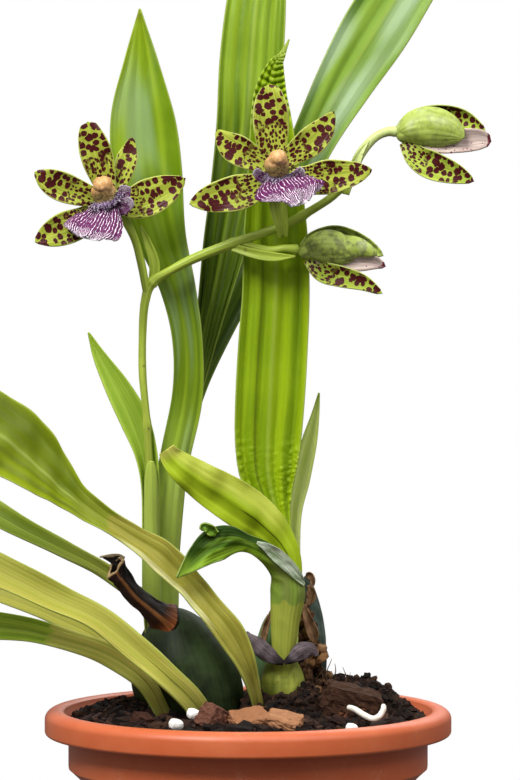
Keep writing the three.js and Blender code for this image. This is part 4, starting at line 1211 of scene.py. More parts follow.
@dataclass
class Pot:
    """The round moulded pot: rolled rim, collar, step, tapered wall and drained floor."""

    height: float = 116.0
    rim: float = 73.3
    rim_height: float = 9.0
    rim_rounds: Row = (1.3, 4.0, 3.4)
    mouth: float = 66.0
    collar: float = 64.8
    collar_height: float = 12.0
    step_height: float = 3.5
    body: float = 60.8
    base: float = 47.0
    wall: float = 2.9
    floor: float = 3.6
    holes: int = 6
    hole_radius: float = 4.5
    hole_circle: float = 30.0
    bore_span: Row = (-20.0, 24.0)
    sides: int = 180
    sharp_from: float = 38.0

    def profile(self) -> list[Row]:
        """The wall's outline from the middle of the base, round the outside, and in again.

        The rim has a small round under its upright face and a larger one over it, each a quarter
        of an ellipse.
        """
        top, foot = self.height, self.height - self.rim_height
        collar_foot = foot - self.collar_height
        step_foot = collar_foot - self.step_height
        quarter = np.linspace(0, 0.5 * np.pi, 9)
        under, wide, high = self.rim_rounds
        below = [(self.rim - under + under * math.sin(a), foot + under - under * math.cos(a))
                 for a in quarter]
        above = [(self.rim - wide + wide * math.cos(a), top - high + high * math.sin(a))
                 for a in quarter]
        inner = self.collar - self.wall
        return [
            (0, 0), (self.base - 6, 0), (self.base - 5, 1), (self.base - 3, 1), (self.base - 2, 0),
            (self.base - 1, 0), (self.base - 0.3, 0.4), (self.base, 1.4),
            (self.body - 0.3, step_foot - 1.6), (self.body, step_foot - 0.4),
            (self.body + 0.5, step_foot + 0.3), (self.collar - 0.7, collar_foot - 0.6),
            (self.collar - 0.1, collar_foot - 0.1), (self.collar, collar_foot + 0.8),
            (self.collar, foot - 0.9), (self.collar + 0.3, foot - 0.2), (self.collar + 1.2, foot),
            *below, *above,
            (self.mouth + 1.4, top - 0.15), (self.mouth + 0.5, top - 0.7), (self.mouth, top - 2.2),
            (inner + 0.6, foot + 0.8), (inner, foot - 0.6), (inner, collar_foot),
            (self.body - self.wall, step_foot - 1), (self.base - self.wall + 0.4, self.floor + 1.6),
            (self.base - self.wall - 1, self.floor + 0.2), (self.base - self.wall - 3, self.floor),
            (0, self.floor),
        ]

    def build(self) -> None:
        """Turns the profile, bores the drain holes and puts the pot in the scene."""
        wall = in_scene("pot_wall", add_turned(Skin(), self.profile(), self.sides, 2).mesh("pot_wall"))
        bores = Skin()
        for number in range(self.holes):
            angle = 2 * math.pi * number / self.holes
            x, y = self.hole_circle * math.cos(angle), self.hole_circle * math.sin(angle)
            r = self.hole_radius
            low, high = self.bore_span
            Stem(((x, y, low, r), (x, y, high, r)), rows=12, sides=32).add_to(bores)
        bore = in_scene("pot_bores", bores.mesh("pot_bores"))
        cut = wall.modifiers.new("drains", "BOOLEAN")
        cut.operation, cut.object, cut.solver = "DIFFERENCE", bore, "EXACT"
        graph = bpy.context.evaluated_depsgraph_get()
        bored = bpy.data.meshes.new_from_object(wall.evaluated_get(graph))
        for thing in (wall, bore):
            bpy.data.objects.remove(thing)
        bored.polygons.foreach_set("use_smooth", np.full(len(bored.polygons), True))
        bored.set_sharp_from_angle(angle=math.radians(self.sharp_from))
        finish = PotFinish("moulded terracotta plastic")
        place_piece("round_pot", bored, finish, ["pot"])


@dataclass
class PottingMix:
    """The bark mix: a lumpy bed, loose chips, heaps of crumbs, chunks, perlite and a root tip."""

    level: float = 113.0
    mound: float = 3.4
    mound_spread: float = 38.0
    bank: Row = (36.0, 14.0, 3.6, 17.0)
    lump: float = 0.9
    lump_size: float = 4.4
    radius: float = 64.2
    chips: int = 950
    heaps: Rows = ((40, 7, 10.5, 21, 14), (3, -15.5, 12, 7, 6.5), (21.5, -13, 13, 7, 6.5),
                   (12, -18, 8.4, 14, 6.4), (30, 32, 7, 22, 16), (-47, 4, 5, 13, 20))
    red_heaps: Rows = ((37, -15, 9.6, 12, 8.4),)
    core: float = 0.84
    crumb_crowd: float = 1.8
    crumb_reach: float = 59.0
    bed_rings: int = 96
    bed_sides: int = 220
    keep_out: Rows = ((-16, -8, 17), (-30, 18, 13), (4, 6, 6), (25, 15, 9), (12, -8, 8.5))
    root: Rows = (
        (34.7, -37, 120.8, 0.9), (37.5, -38, 120, 1.05), (40.6, -39.2, 118.2, 1.1),
        (43.7, -39.6, 116.9, 1.1), (46, -38.6, 117.8, 1.05), (47.5, -37.4, 120.1, 1),
        (47.3, -36.6, 121.8, 0.8))

    def height(self, x: Array, y: Array) -> Array:
        """Height of the mix: a bell in the middle, a bell at one side, and two sets of lumps."""
        heap = self.mound * np.exp(-((x**2 + y**2) / self.mound_spread**2))
        bank_x, bank_y, bank_height, spread = self.bank
        bank = bank_height * np.exp(-(((x - bank_x) ** 2 + (y - bank_y) ** 2) / spread**2))
        coarse = np.sin(x / self.lump_size + 1) * np.cos(y / self.lump_size)
        fine = np.sin(1.4 * (x + y) / self.lump_size + 2)
        return self.level + heap + bank + self.lump * (coarse + 0.7 * fine)

    def piled(self, x: Array, y: Array) -> Array:
        """How far the heaps' solid cores rise over the mix: the highest of their paraboloids."""
        rise = 0 * x
        for x0, y0, tall, wide, deep in self.heaps:
            away = ((x - x0) / wide) ** 2 + ((y - y0) / deep) ** 2
            rise = np.maximum(rise, self.core * tall * (1 - away))
        return rise

    def bed(self) -> Skin:
        """The bed's top, wall and underside, as one surface turned about the pot's axis.

        The top's height is the mix's own, plus a fine chance relief.
        """
        radii = np.concatenate([[0.01, 44, 57.6, 61.4, 61.6],
                                np.linspace(self.radius, 0.01, self.bed_rings)])
        heights = np.concatenate([[3.9, 3.9, 90.4, 95, 107], np.zeros(self.bed_rings)])
        turn, radius = np.meshgrid(turns(self.bed_sides), radii)
        x, y = radius * np.cos(turn), radius * np.sin(turn)
        z = heights[:, None] + 0 * turn
        top = heights == 0
        relief = 0.9 * rumple(x, y, 5, 5.0) + 0.5 * rumple(x, y, 6, 2.2)
        heaped = self.piled(x, y) * smooth(61 - radius, 0, 3)
        z[top] = (self.height(x, y) + heaped + relief - 0.3)[top]
        points = np.stack([x, y, z], -1)
        return Skin().wrap(points, points, points * 0)

    def scatter(self, count: int, seed: int, radius: float) -> tuple[Array, Array]:
        """Chance places on the mix, spread evenly over its disc and clear of the plant's foot.

        Args:
            count: Places asked for.
            seed: Chooses them.
            radius: Radius of the disc.

        Returns:
            Their x and y.
        """
        draw = np.random.default_rng(seed)
        angle = draw.uniform(0, 2 * np.pi, count)
        away = radius * np.sqrt(draw.random(count))
        x, y = away * np.cos(angle), away * np.sin(angle)
        clear = np.ones(count, bool)
        for bulb_x, bulb_y, bulb_radius in self.keep_out:
            clear &= np.hypot(x - bulb_x, y - bulb_y) > bulb_radius
        return x[clear], y[clear]

    def loose_chips(self) -> Skin:
        """Small flat chips and crumbs that lie all over the bed."""
        draw = np.random.default_rng(21)
        skin = Skin()
        kinds = ((260, 3, 4.0, 9.5, 1.2), (self.chips, 4, 1.2, 4.2, 0.9))
        for count, seed, low, high, lift in kinds:
            x, y = self.scatter(count, seed, self.radius - high * 0.5)
            number = len(x)
            long = draw.uniform(low, high, number)
            size = np.stack([long, long * draw.uniform(0.45, 0.8, number),
                             long * draw.uniform(0.25, 0.55, number)], -1)
            turn = np.stack([draw.uniform(-35, 35, number), draw.uniform(-35, 35, number),
                             draw.uniform(0, 360, number)], -1)
            at = np.stack([x, y, self.height(x, y) + lift * draw.random(number)], -1)
            add_chunks(skin, at, size, turn, seed)
        return skin

    def crumbs(self, heaps: Rows, seed: int) -> Skin:
        """Crumbs heaped on the mix.

        A heap is a paraboloid over an ellipse, filled by chance. Where the bed has a solid core
        in it, the crumbs stay near that core's surface and none lies deep inside.

        Args:
            heaps: Each heap's x, y, height, and half widths across and front to back.
            seed: Chooses the crumbs.

        Returns:
            The crumbs as one skin.
        """
        draw = np.random.default_rng(seed)
        skin = Skin()
        for kind, (x0, y0, tall, wide, deep) in enumerate(heaps, seed + 40):
            number = int(wide * deep * self.crumb_crowd)
            angle, away = draw.uniform(0, 2 * np.pi, number), np.sqrt(draw.random(number))
            x, y = x0 + wide * away * np.cos(angle), y0 + deep * away * np.sin(angle)
            rise = tall * (1 - away**2) * draw.random(number) ** 0.6
            long = draw.uniform(1.5, 4.4, number)
            core = self.piled(x, y)
            if heaps is self.heaps:
                rise = np.minimum(rise, core + 0.2 * long)
            z = self.height(x, y) + rise
            size = long[:, None] * draw.uniform(0.45, 1.0, (number, 3))
            near = (np.hypot(x, y) < self.crumb_reach) & (rise > core - 0.4 * long)
            add_chunks(skin, np.stack([x, y, z], -1)[near], size[near],
                       draw.uniform(0, 360, (number, 3))[near], kind, 2, 0.35, 0.45)
        return skin

    def build(self) -> None:
        """Puts the mix and all that lies on it in the scene."""
        dark = BarkFinish("dark crumbs", 0x0E0806, 0x2A1A12, 0x63432F, 0.5, 0.95)
        red = BarkFinish("red crumbs", 0x2C170E, 0x6A3E28, 0xA4714C, 0.5, 0.95)
        mixed = BarkFinish("mixed bark chips", 0x140C08, 0x33201A, 0x66462F)
        mix = ("potting_mix", "dark_bark_mix")
        self.crumbs(self.heaps, 23).put("crumb_heaps", dark, *mix, False)
        self.crumbs(self.red_heaps, 24).put("red_crumbs", red, "bark_large", "red_bark", False)
        self.bed().put("mix_bed", SoilFinish("fine dark mix"), *mix)
        self.loose_chips().put("mix_chips", mixed, *mix, False)
        tan = BarkFinish("tan bark", 0x5E3620, 0x9C6A48, 0xC8966E, 0.4)
        white = PlainFinish("perlite")
        flaky, grainy, lying = (9, 0.16, 0.3), (8, 0.14, 0.75), (20, 10, 30)
        for name, node, slot, finish, at, size, turn, seed, kind in (
            ("large_bark", "bark_large", "red_bark",
             BarkFinish("red bark", 0x3C2416, 0x7C5236, 0xAC7C54, 0.35),
             (36.5, -14, 118.5), (23, 17, 15), (8, 14, 10), 5, flaky),
            ("tan_bark_left", "bark_tan_left", "tan_bark", tan,
             (0.6, -44.5, 116.6), (15, 11, 7), (24, -8, 20), 6, flaky),
            ("tan_bark_right", "bark_tan_right", "tan_bark", tan,
             (12.4, -44, 116.2), (14, 11, 6), (18, 12, -14), 7, flaky),
            ("mauve_chip", "bark_mauve", "mauve_bark",
             BarkFinish("mauve bark", 0x40251C, 0x764C3C, 0x9C7260, 0.4),
             (-11.6, -42, 117), (11, 10, 10), (10, 30, 40), 8, flaky),
            ("round_chip", "bark_round", "tan_bark",
             BarkFinish("brown bark", 0x3A2016, 0x75492F, 0x96684A, 0.4),
             (-37, -35, 115.4), (7.5, 7, 6), lying, 9, flaky),
            ("perlite_grain_left", "perlite_left", "perlite", white,
             (-24.8, -48.4, 116), (5.5, 4.5, 4), lying, 10, grainy),
            ("perlite_grain_centre", "perlite_centre", "perlite", white,
             (-19, -35, 118), (5, 5, 4), lying, 12, grainy),
            ("perlite_grain_right", "perlite_right", "perlite", white,
             (36, -51, 115), (4.5, 4, 3.6), lying, 13, grainy),
        ):
            middle, sizes, angles = (np.array([row], float) for row in (at, size, turn))
            chunk = add_chunks(Skin(), middle, sizes, angles, seed, *kind)
            chunk.put(name, finish, node, slot, kind is grainy)
        root = Stem(self.root, rows=50, sides=20).add_to(Skin())
        coat = PlainFinish("live root coat", 0xF3F1EA, 0xDAD5C6, 300.0, 0.0001, 0.6)
        root.put("live_root", coat, "root_tip", "white_root")


# ---- Plant --------------------------------------------------------------------------------


@dataclass(frozen=True)
class Bulb:
    """A pseudobulb: an egg on its foot, widest at a third of its height, faintly grooved.

    Its radius is a power of the sine of its height share, times a cosine of the angle for the
    grooves. Rings of old leaf scars are shallow bells in the height share.
    """

    name: str
    node: str
    slot: str
    finish: Finish
    x: float
    y: float
    foot: float
    height: float
    radius: float
    lean: Row = (0.0, 0.0)
    grooves: int = 6
    blunt: float = 0.62
    seed: int = 1
    scars: Row = (0.3, 0.55, 0.78)
    rows: int = 70
    sides: int = 96

    def build(self) -> None:
        """Puts the pseudobulb in the scene."""
        turn, share = np.meshgrid(turns(self.sides), crowded(self.rows))
        swell = np.sin(np.pi * np.clip(share, 1e-5, 1 - 1e-5) ** 0.85) ** self.blunt
        groove = 1 - 0.022 * (1 + np.cos(self.grooves * turn + self.seed))
        scars = sum(bump_at(share, centre, 0.012) for centre in self.scars)
        uneven = 1 + 0.02 * rumple(turn * 10, share * 60, self.seed, 14.0) - 0.012 * scars
        radius = self.radius * swell * groove * uneven
        x = self.x + self.lean[0] * share + radius * np.cos(turn)
        y = self.y + self.lean[1] * share + radius * np.sin(turn)
        z = self.foot + self.height * share
        flat = np.stack([turn * self.radius, share * self.height, turn * 0 + self.seed], -1)
        skin = Skin().wrap(np.stack([x, y, z], -1), flat, round_place(turn, share))
        skin.put(self.name, self.finish, self.node, self.slot)


@dataclass(frozen=True)
class Leaf:
    """One leaf: its blade, its finish, and the solid that it stands for."""

    name: str
    node: str
    slot: str
    finish: Finish
    blade: Blade

    def build(self) -> None:
        """Puts the leaf in the scene."""
        self.blade.add_to(Skin()).put(self.name, self.finish, self.node, self.slot)


def crimped_ends(t: Array, v: Array, half: Array) -> Array:
    """Cross folds near the pleated leaf's tip, a cosine along it, and chance blisters at its foot."""
    tip = smooth(t, 0.68, 0.78) * (1 - smooth(t, 0.93, 0.97))
    foot = smooth(t, 0.18, 0.21) * (1 - smooth(t, 0.3, 0.37))
    folds = np.cos(2 * np.pi * 46 * (t - 0.02 * np.abs(v)) + 1.5 * rumple(v * half, t * 90, 34, 9.0))
    blisters = np.abs(rumple(v * half, t * 180, 33, 3.4))
    return 0.55 * tip * folds + 0.5 * foot * (0.3 + 0.7 * np.abs(v)) * blisters


def crumpled(t: Array, v: Array, half: Array) -> Array:
    """Sharp little creases of a young leaf that opened badly, deepest near its middle."""
    fold = np.abs(rumple(v * half, t * 60, 31, 9.0))
    return (0.9 - 1.6 * fold) * bump_at(t, 0.62, 0.3) * np.minimum(1, half / 6)


class Leaves:
    """All the leaves, from the tall ones of the old growth to the bent ones of the young."""

    knob: Rows = (
        (-11.2, -26.4, 180.7, 1.2, 24), (-12.6, -27, 181.7, 2, 34), (-14, -27.4, 182.7, 2.2, 38),
        (-15.4, -27.6, 183.1, 1.9, 40), (-16.5, -27.6, 182.1, 0.5, 30))
    membrane: Rows = (
        (3.2, -21.4, 177.3, 0.5, 10), (6.8, -19.8, 175.4, 1.7, 10), (10.3, -18.2, 172.6, 2.4, 10),
        (14.3, -16.6, 168.8, 2.4, 10), (17.8, -15.2, 164.9, 1.7, 10), (20.2, -13.4, 161.6, 0.4, 10))
    sheath: Rows = (
        (-34.8, 3.2, 152.6, 5.2, -55), (-34.8, 2.2, 165.7, 4.8, -55), (-34.9, 1.4, 178.4, 4.2, -55),
        (-35, 1, 189.3, 3.9, -55), (-35.1, 0.9, 197.6, 3.5, -55), (-35.1, 0.9, 202.3, 2.6, -52),
        (-34.9, 1, 204.5, 1.3, -45), (-34.8, 1.1, 205.2, 0.3, -40))

    def tall(self) -> list[Leaf]:
        """The three tall leaves that rise from the left pseudobulb."""
        left = Blade(
            ((-31.4, 13.5, 149.5, 8, -45), (-31.4, 12.5, 163.1, 8.2, -45), (-30.8, 11.5, 177.8, 8.2, -44),
             (-28.8, 10.5, 194.2, 7, -38), (-26.2, 10, 208.1, 5.8, -18), (-22, 9, 229, 5.6, 6),
             (-22, 8, 249, 5.6, 16), (-25.5, 7, 268, 6.6, 14), (-31.5, 6, 287, 9.2, 12),
             (-36, 5, 310, 12.4, 11), (-38, 4, 329, 11.8, 12), (-38.5, 3, 349, 6.4, 14),
             (-39, 2, 368, 0.3, 14)),
            waves=5, wave=0.5, ridges=4, ridge=0.3, veins=12, vein=0.07, stout=1.4, seed=2)
        centre = Blade(
            ((-31, 20.5, 142, 3, 30), (-30.4, 20, 158, 3.4, 30), (-29.4, 19, 183, 3.4, 30),
             (-26, 18, 208, 3.4, 28), (-20.4, 18, 229, 3.6, 24), (-14.6, 20, 254, 5, 18),
             (-8.6, 23, 283, 8.2, 14), (-4.2, 25, 305, 9.8, 12), (-0.6, 27, 328, 11.2, 10),
             (1.2, 29, 352, 11.8, 10), (3.2, 32, 376, 10.8, 11), (5.5, 36, 400, 7.8, 13),
             (7, 40, 421, 3.8, 14), (8, 43, 438, 0.3, 14)),
            waves=4, wave=0.6, ridges=6, ridge=0.4, veins=14, vein=0.07, stout=1.4, seed=3)
        right = Blade(
            ((-30, 25, 141, 2.6, 28), (-28.8, 25.5, 158, 2.9, 28), (-27, 24, 183, 2.9, 28),
             (-24.2, 23, 208, 3, 26), (-19.8, 24, 227, 3.4, 24), (-12.6, 27, 246, 4.2, 20),
             (5, 34, 284, 6.4, 14), (15.4, 37, 304, 7.2, 12), (25.2, 40, 325, 8.6, 11),
             (36, 43, 345, 11, 10), (48, 47, 365, 12.9, 10), (62, 52, 387, 12, 11), (78, 58, 406, 8.6, 13),
             (92, 64, 420, 4.4, 14), (104, 70, 428, 0.3, 14)),
            waves=5, wave=0.7, ridges=4, ridge=0.3, veins=12, vein=0.06, stout=1.0, seed=4)
        return [
            # On all three tall leaves the dusk stretch is painted shade over the lower blade, which lies in
            # shadow.
            # The pale streaks on the left and right tall leaves are partly waxy bloom and partly a painted
            # sheen highlight.
            Leaf("tall_left_leaf", "leaf_tall_left", "deep_leaf",
                 LeafFinish("tall left green", 0x94B022, 0x6C8C0A, 0xB0C656, joint=0.18, blur=0.26,
                            wax_and_sheen=0.55, spot=0.4, dusk=0.35, dusk_span=(0.36, 0.55), streak=0.08,
                            crease=0.0), left),
            Leaf("tall_centre_leaf", "leaf_tall_centre", "deep_leaf",
                 LeafFinish("tall centre green", 0x8CA822, 0x5E7C0C, 0x98B048, joint=0.2, blur=0.2,
                            bands=3.4, dusk=0.8, dusk_span=(0.36, 0.55), streak=0.12), centre),
            Leaf("tall_right_leaf", "leaf_tall_right", "deep_leaf",
                 LeafFinish("tall right green", 0x86A638, 0x587C1E, 0x8CA83C, joint=0.2, blur=0.2,
                            wax_and_sheen=0.6, wax_and_sheen_colour=0xA9C09C, dusk=0.7, dusk_span=(0.34, 0.5),
                            streak=0.12), right),
        ]

    def young(self) -> list[Leaf]:
        """The pleated leaf and the short leaves round it, on the young growth."""
        pleated = Blade(
            ((12, -3.5, 126, 2.2, -20), (13.5, -2, 146, 2.8, -20), (14, 1, 168, 3, -16),
             (12, 3, 181, 3.6, -10), (9, 4, 191, 7, -4), (7.2, 4, 201, 10.4, 4), (7.2, 4, 213, 12, 6),
             (8, 4, 229, 12.6, 7), (9, 4, 247, 12.6, 7), (10, 4, 265, 12.2, 7), (10, 4, 282, 11.8, 7),
             (9.7, 4, 298, 10.6, 7), (9, 4, 315, 8.8, 6), (8.3, 4, 328, 7.4, 4), (8, 3.5, 336, 6.2, 2),
             (8.8, 3, 343, 4.6, 0), (10.4, 2.6, 348.6, 2.6, 0), (12.2, 2.3, 351.4, 1.2, 0),
             (14.8, 2, 357, 0.3, 0)),
            rows=560, columns=44, crowd=1.5, ridges=4, ridge=0.75, veins=16, vein=0.1, relief=crimped_ends,
            round=0.8, rumple=0.3, seed=5)
        small_right = Blade(
            ((15, -1.5, 125, 1.8, -12), (16, 2.5, 141, 2.2, -12), (16.6, 7, 155, 2.4, -8),
             (16.6, 9, 183, 2.6, 8), (19, 10, 198, 3.5, 14), (22, 11, 211, 3, 16), (24.3, 12, 221, 1.6, 16),
             (25.8, 13, 229.5, 0.3, 16)),
            rows=90, columns=24, veins=8, vein=0.06, stout=0.8, seed=6)
        small_left = Blade(
            ((-34.5, 9.5, 138, 3.6, 50), (-35.2, 8.5, 156, 4.4, 50), (-35.2, 8, 178, 4.5, 50),
             (-35.4, 7.6, 196, 4.6, 48), (-37, 7.4, 208, 5, 36), (-41, 7.6, 219.5, 5.6, 22),
             (-47, 8, 231, 4.8, 18), (-53.7, 9, 242.5, 2.6, 18), (-58, 10, 251.5, 0.3, 18)),
            rows=100, columns=28, veins=8, vein=0.06, round=0.9, seed=7)
        folded = Blade(
            ((13.5, -8, 124, 2, -22), (15, -9, 148, 2.8, -22), (16.2, -9, 166, 3.4, -22),
             (12.8, -9.5, 175.6, 5.1, -18), (5, -11, 184, 7.5, -15), (-4.5, -13, 191, 8.2, -14),
             (-14, -14, 197, 7.3, -15), (-22, -15, 202.5, 5.8, -18), (-26.6, -15, 206.5, 4.6, -20),
             (-29, -15, 210, 3.2, -20)),
            rows=130, columns=36, waves=3, wave=0.9, ridges=2, ridge=0.3, veins=6, vein=0.05,
            round=1.0, rumple=1.2, rumple_size=12, seed=8)
        twisted = Blade(
            ((11.8, -11.6, 120, 3, -36), (12.4, -13.2, 130, 4, -36), (12.8, -14, 140, 5.2, -36),
             (13.3, -14, 149, 6.2, -34), (14.2, -14.2, 159, 7.2, -32), (12.6, -15.2, 166.6, 5.4, -30),
             (6.4, -18.4, 173.4, 3.8, -24), (-0.3, -20.6, 176.9, 3.4, -18), (-6.4, -23.4, 178, 5.6, -12),
             (-12.3, -26, 176.5, 6, 2), (-17.2, -27.6, 172.9, 4.5, 10), (-21.1, -28.6, 169.2, 2.6, 14),
             (-25, -29, 165.4, 0.3, 14)),
            rows=170, columns=44, waves=3, wave=0.5, veins=10, vein=0.08, round=0.9,
            relief=crumpled, seed=9)
        return [
            Leaf("pleated_leaf", "leaf_pleated", "bright_leaf",
                 LeafFinish("pleated bright green", 0x93AE0C, 0x6C8A02, 0x9DAA38, 0xB2C65C,
                            joint=0.05, blur=0.16, bands=3.0, through=0.25,
                            fold_line=0.4, fold_at=-0.42), pleated),
            Leaf("small_right_leaf", "leaf_small_right", "pale_leaf",
                 LeafFinish("small right green", 0xCCD880, 0xB0C25C, 0xB8C468, bands=3.0,
                            through=0.3), small_right),
            Leaf("small_left_leaf", "leaf_small_left", "pale_leaf",
                 LeafFinish("small left green", 0xA6C048, 0x86A42A, 0xA8B656, bands=3.0,
                            through=0.3, spot=0.3), small_left),
            Leaf("folded_leaf", "leaf_young", "bright_leaf",
                 LeafFinish("folded bright green", 0xA2B820, 0x86A00C, 0x98A034, 0xBCB45C, bands=1.6,
                            veins=0.08, spot=0.4, rough=0.45, gloss=0.2, margin=0xC0C474,
                            crease=0.0, brow=0xA8B03E, brow_span=(0.4, 1.0), fold_line=0.8,
                            fold_to=0.5), folded),
            Leaf("twisted_leaf", "leaf_twisted", "dark_leaf",
                 LeafFinish("twisted dark green", 0x80A224, 0x34580A, 0x959C3E, 0x92B23A,
                            joint=0.298, blur=0.008, dusk=1.2, dusk_span=(0.3, 0.42), crease=0.12,
                            dusk_colour=0x74843C, margin=0xA8B878, streak=0.15, gloss=0.12,
                            brow=0x152F04, brow_span=(0.5, 0.88)), twisted),
        ]

    def low(self) -> list[Leaf]:
        """The five low leaves that arch out to the left."""
        arching = {"face": UP_FRONT, "waves": 4, "veins": 10, "stout_to": 0.6}
        upper = Blade(
            ((4, -17.5, 112, 2.2, 34), (2.9, -20.6, 122.4, 2.5, 34), (-0.7, -22.6, 133.2, 3.9, 34),
             (-6.1, -23.6, 143.5, 5.9, 34), (-13, -23.2, 152.1, 6.3, 34), (-21.5, -22, 161.8, 6.1, 33),
             (-32, -22, 172, 6.6, 31), (-42, -22.2, 179, 5.5, 29), (-52, -22.8, 185.4, 5, 26),
             (-61.6, -23.6, 192.5, 6.2, 20), (-71.7, -24.8, 201.7, 10.9, 15),
             (-80.2, -26.6, 209.6, 13.6, 11), (-90, -29, 217, 15, 9), (-107.5, -33, 227, 14.6, 8),
             (-126.5, -38, 233, 12.6, 9), (-145, -42, 234, 9.4, 12), (-161, -44, 231, 5, 14),
             (-173, -45, 225, 0.3, 14)),
            face=UP_FRONT, rows=190, waves=6, wave=0.9, veins=10, vein=0.07, ridges=4, ridge=0.25,
            stout=1.6, stout_to=0.5, rumple=0.6, rumple_size=11, seed=10)
        back = Blade(
            ((-29.9, 11.5, 130.7, 2.9, 30), (-35.4, 10.4, 151.6, 3.1, 30), (-44.6, 9, 158.8, 3.2, 30),
             (-54.4, 9, 165.7, 3.3, 30), (-67, 12, 171.8, 4.2, 29), (-83, 15.6, 179.4, 4.6, 25),
             (-102, 22, 189.6, 6, 16), (-125, 30, 198.6, 9.6, 11), (-148, 38, 202, 11.2, 10),
             (-169.5, 46, 198, 9.8, 11), (-187.5, 52, 188, 5.6, 13), (-199, 56, 180, 0.3, 14)),
            rows=150, wave=0.6, vein=0.06, stout=1.6, seed=11, **arching)
        front = Blade(
            ((-14.7, -27.4, 114.3, 3.7, 32), (-21, -29.8, 122.7, 5.3, 32), (-30.1, -31.6, 131.4, 5.4, 32),
             (-38.5, -32, 138.8, 5.5, 32), (-52, -32, 149.8, 6, 32), (-66, -32.8, 156.6, 6.5, 30),
             (-80.5, -35, 164, 6.6, 27), (-97, -40, 172.6, 7.6, 18), (-115.5, -47, 179, 10.2, 12),
             (-133.5, -55, 180, 10.8, 10), (-149.5, -63, 176.4, 8.4, 12), (-161, -70, 169.6, 3.8, 14),
             (-168, -73, 163.6, 0.3, 14)),
            rows=170, wave=0.7, vein=0.07, stout=2.0, seed=12, **arching)
        inner = Blade(
            ((-29, -6.6, 115, 2.2, 26), (-35.5, -9, 123.5, 2.7, 26), (-42, -10, 131, 2.9, 26),
             (-54.5, -10.6, 142, 3, 26), (-67, -10.6, 148.4, 3, 24), (-81.5, -9.6, 154.6, 3.2, 22),
             (-100, -6, 161, 4, 16), (-118, -2, 164, 6, 12), (-136.5, 2, 160.5, 6.8, 12),
             (-153, 6, 151.5, 4.4, 14), (-164, 8, 143, 0.3, 14)),
            face=UP_FRONT, rows=120, columns=24, veins=8, vein=0.06, stout=1.4, stout_to=0.6, seed=13)
        outer = Blade(
            ((-28, -18, 112, 3, 30), (-35, -19.6, 125, 4, 30), (-43, -20, 132.5, 4.8, 30),
             (-53, -20, 138, 5, 30), (-67, -20.6, 142.5, 5, 28), (-81, -22, 146, 5.2, 24),
             (-98, -25, 147.5, 7.2, 16), (-115.5, -29, 145, 9.6, 11), (-132.5, -34, 137.5, 9, 11),
             (-146, -38, 126.5, 5.4, 13), (-154, -41, 118, 0.3, 14)),
            rows=140, wave=0.6, vein=0.06, stout=2.0, seed=14, **arching)
        stalk = {"foot": 0xB3AC4E, "blur": 0.012, "base": 0.7}
        return [
            Leaf("low_upper_leaf", "leaf_low_upper", "arching_leaf",
                 LeafFinish("upper arching green", 0x86960C, 0x5C6C04, joint=0.447, dusk=1.2,
                            dusk_span=(0.45, 0.5), dusk_blur=0.04, dusk_colour=0x7E8A24,
                            hem=0xC8C488, hem_span=(0.25, 0.4), crease=0.45, foot=0x9C943C,
                            blur=0.012, base=0.7), upper),
            Leaf("low_back_leaf", "leaf_low_back", "arching_leaf",
                 LeafFinish("back arching green", 0x8C9E2E, 0x6A8018, 0x9CA23E, joint=0.25,
                            blur=0.2), back),
            Leaf("low_front_leaf", "leaf_low_front", "arching_leaf",
                 LeafFinish("front arching green", 0x93A634, 0x6C8418, joint=0.62, **stalk), front),
            Leaf("low_inner_leaf", "leaf_low_inner", "arching_leaf",
                 LeafFinish("inner arching green", 0x93A634, 0x6C8418, joint=0.6, **stalk), inner),
            Leaf("low_outer_leaf", "leaf_low_outer", "arching_leaf",
                 LeafFinish("outer arching green", 0x98AE30, 0x708C18, joint=0.42, **stalk), outer),
        ]

    def build(self) -> None:
        """Puts all the leaves in the scene."""
        for leaf in (*self.tall(), *self.young(), *self.low()):
            leaf.build()
        small = (
            ("spike_sheath", self.sheath, "leaf_small_left", "pale_leaf", dict(round=0.9, seed=16),
             LeafFinish("spike sheath green", 0xAABC50, 0x8CA43A, 0xA4B850, 0xB4BE58, joint=0.4,
                        blur=0.3, crease=0.0, streak=0.08, margin=0x9CAE48)),
            ("curled_tip", self.knob, "leaf_twisted", "dark_leaf",
             dict(round=1.0, rumple=1.1, rumple_size=3.4, waves=2, wave=0.5, seed=17),
             LeafFinish("curled tip green", 0x6E9420, 0x2C5208, joint=0.0, blur=0.01, tip=0x6E9420)),
            ("silvery_membrane", self.membrane, "leaf_twisted", "dark_leaf",
             dict(thickness=0.3, margin=0.15, round=1.0, waves=2, wave=0.3, rumple=0.5,
                  rumple_size=5, seed=15),
             DryFinish("silvery membrane", 0x7C9468, 0xC6D0BC, grain=0.9, rough=0.45, gloss=0.4)),
        )
        for name, stations, node, slot, sizes, finish in small:
            blade = Blade(stations, rows=60, columns=24, **sizes)
            blade.add_to(Skin()).put(name, finish, node, slot)


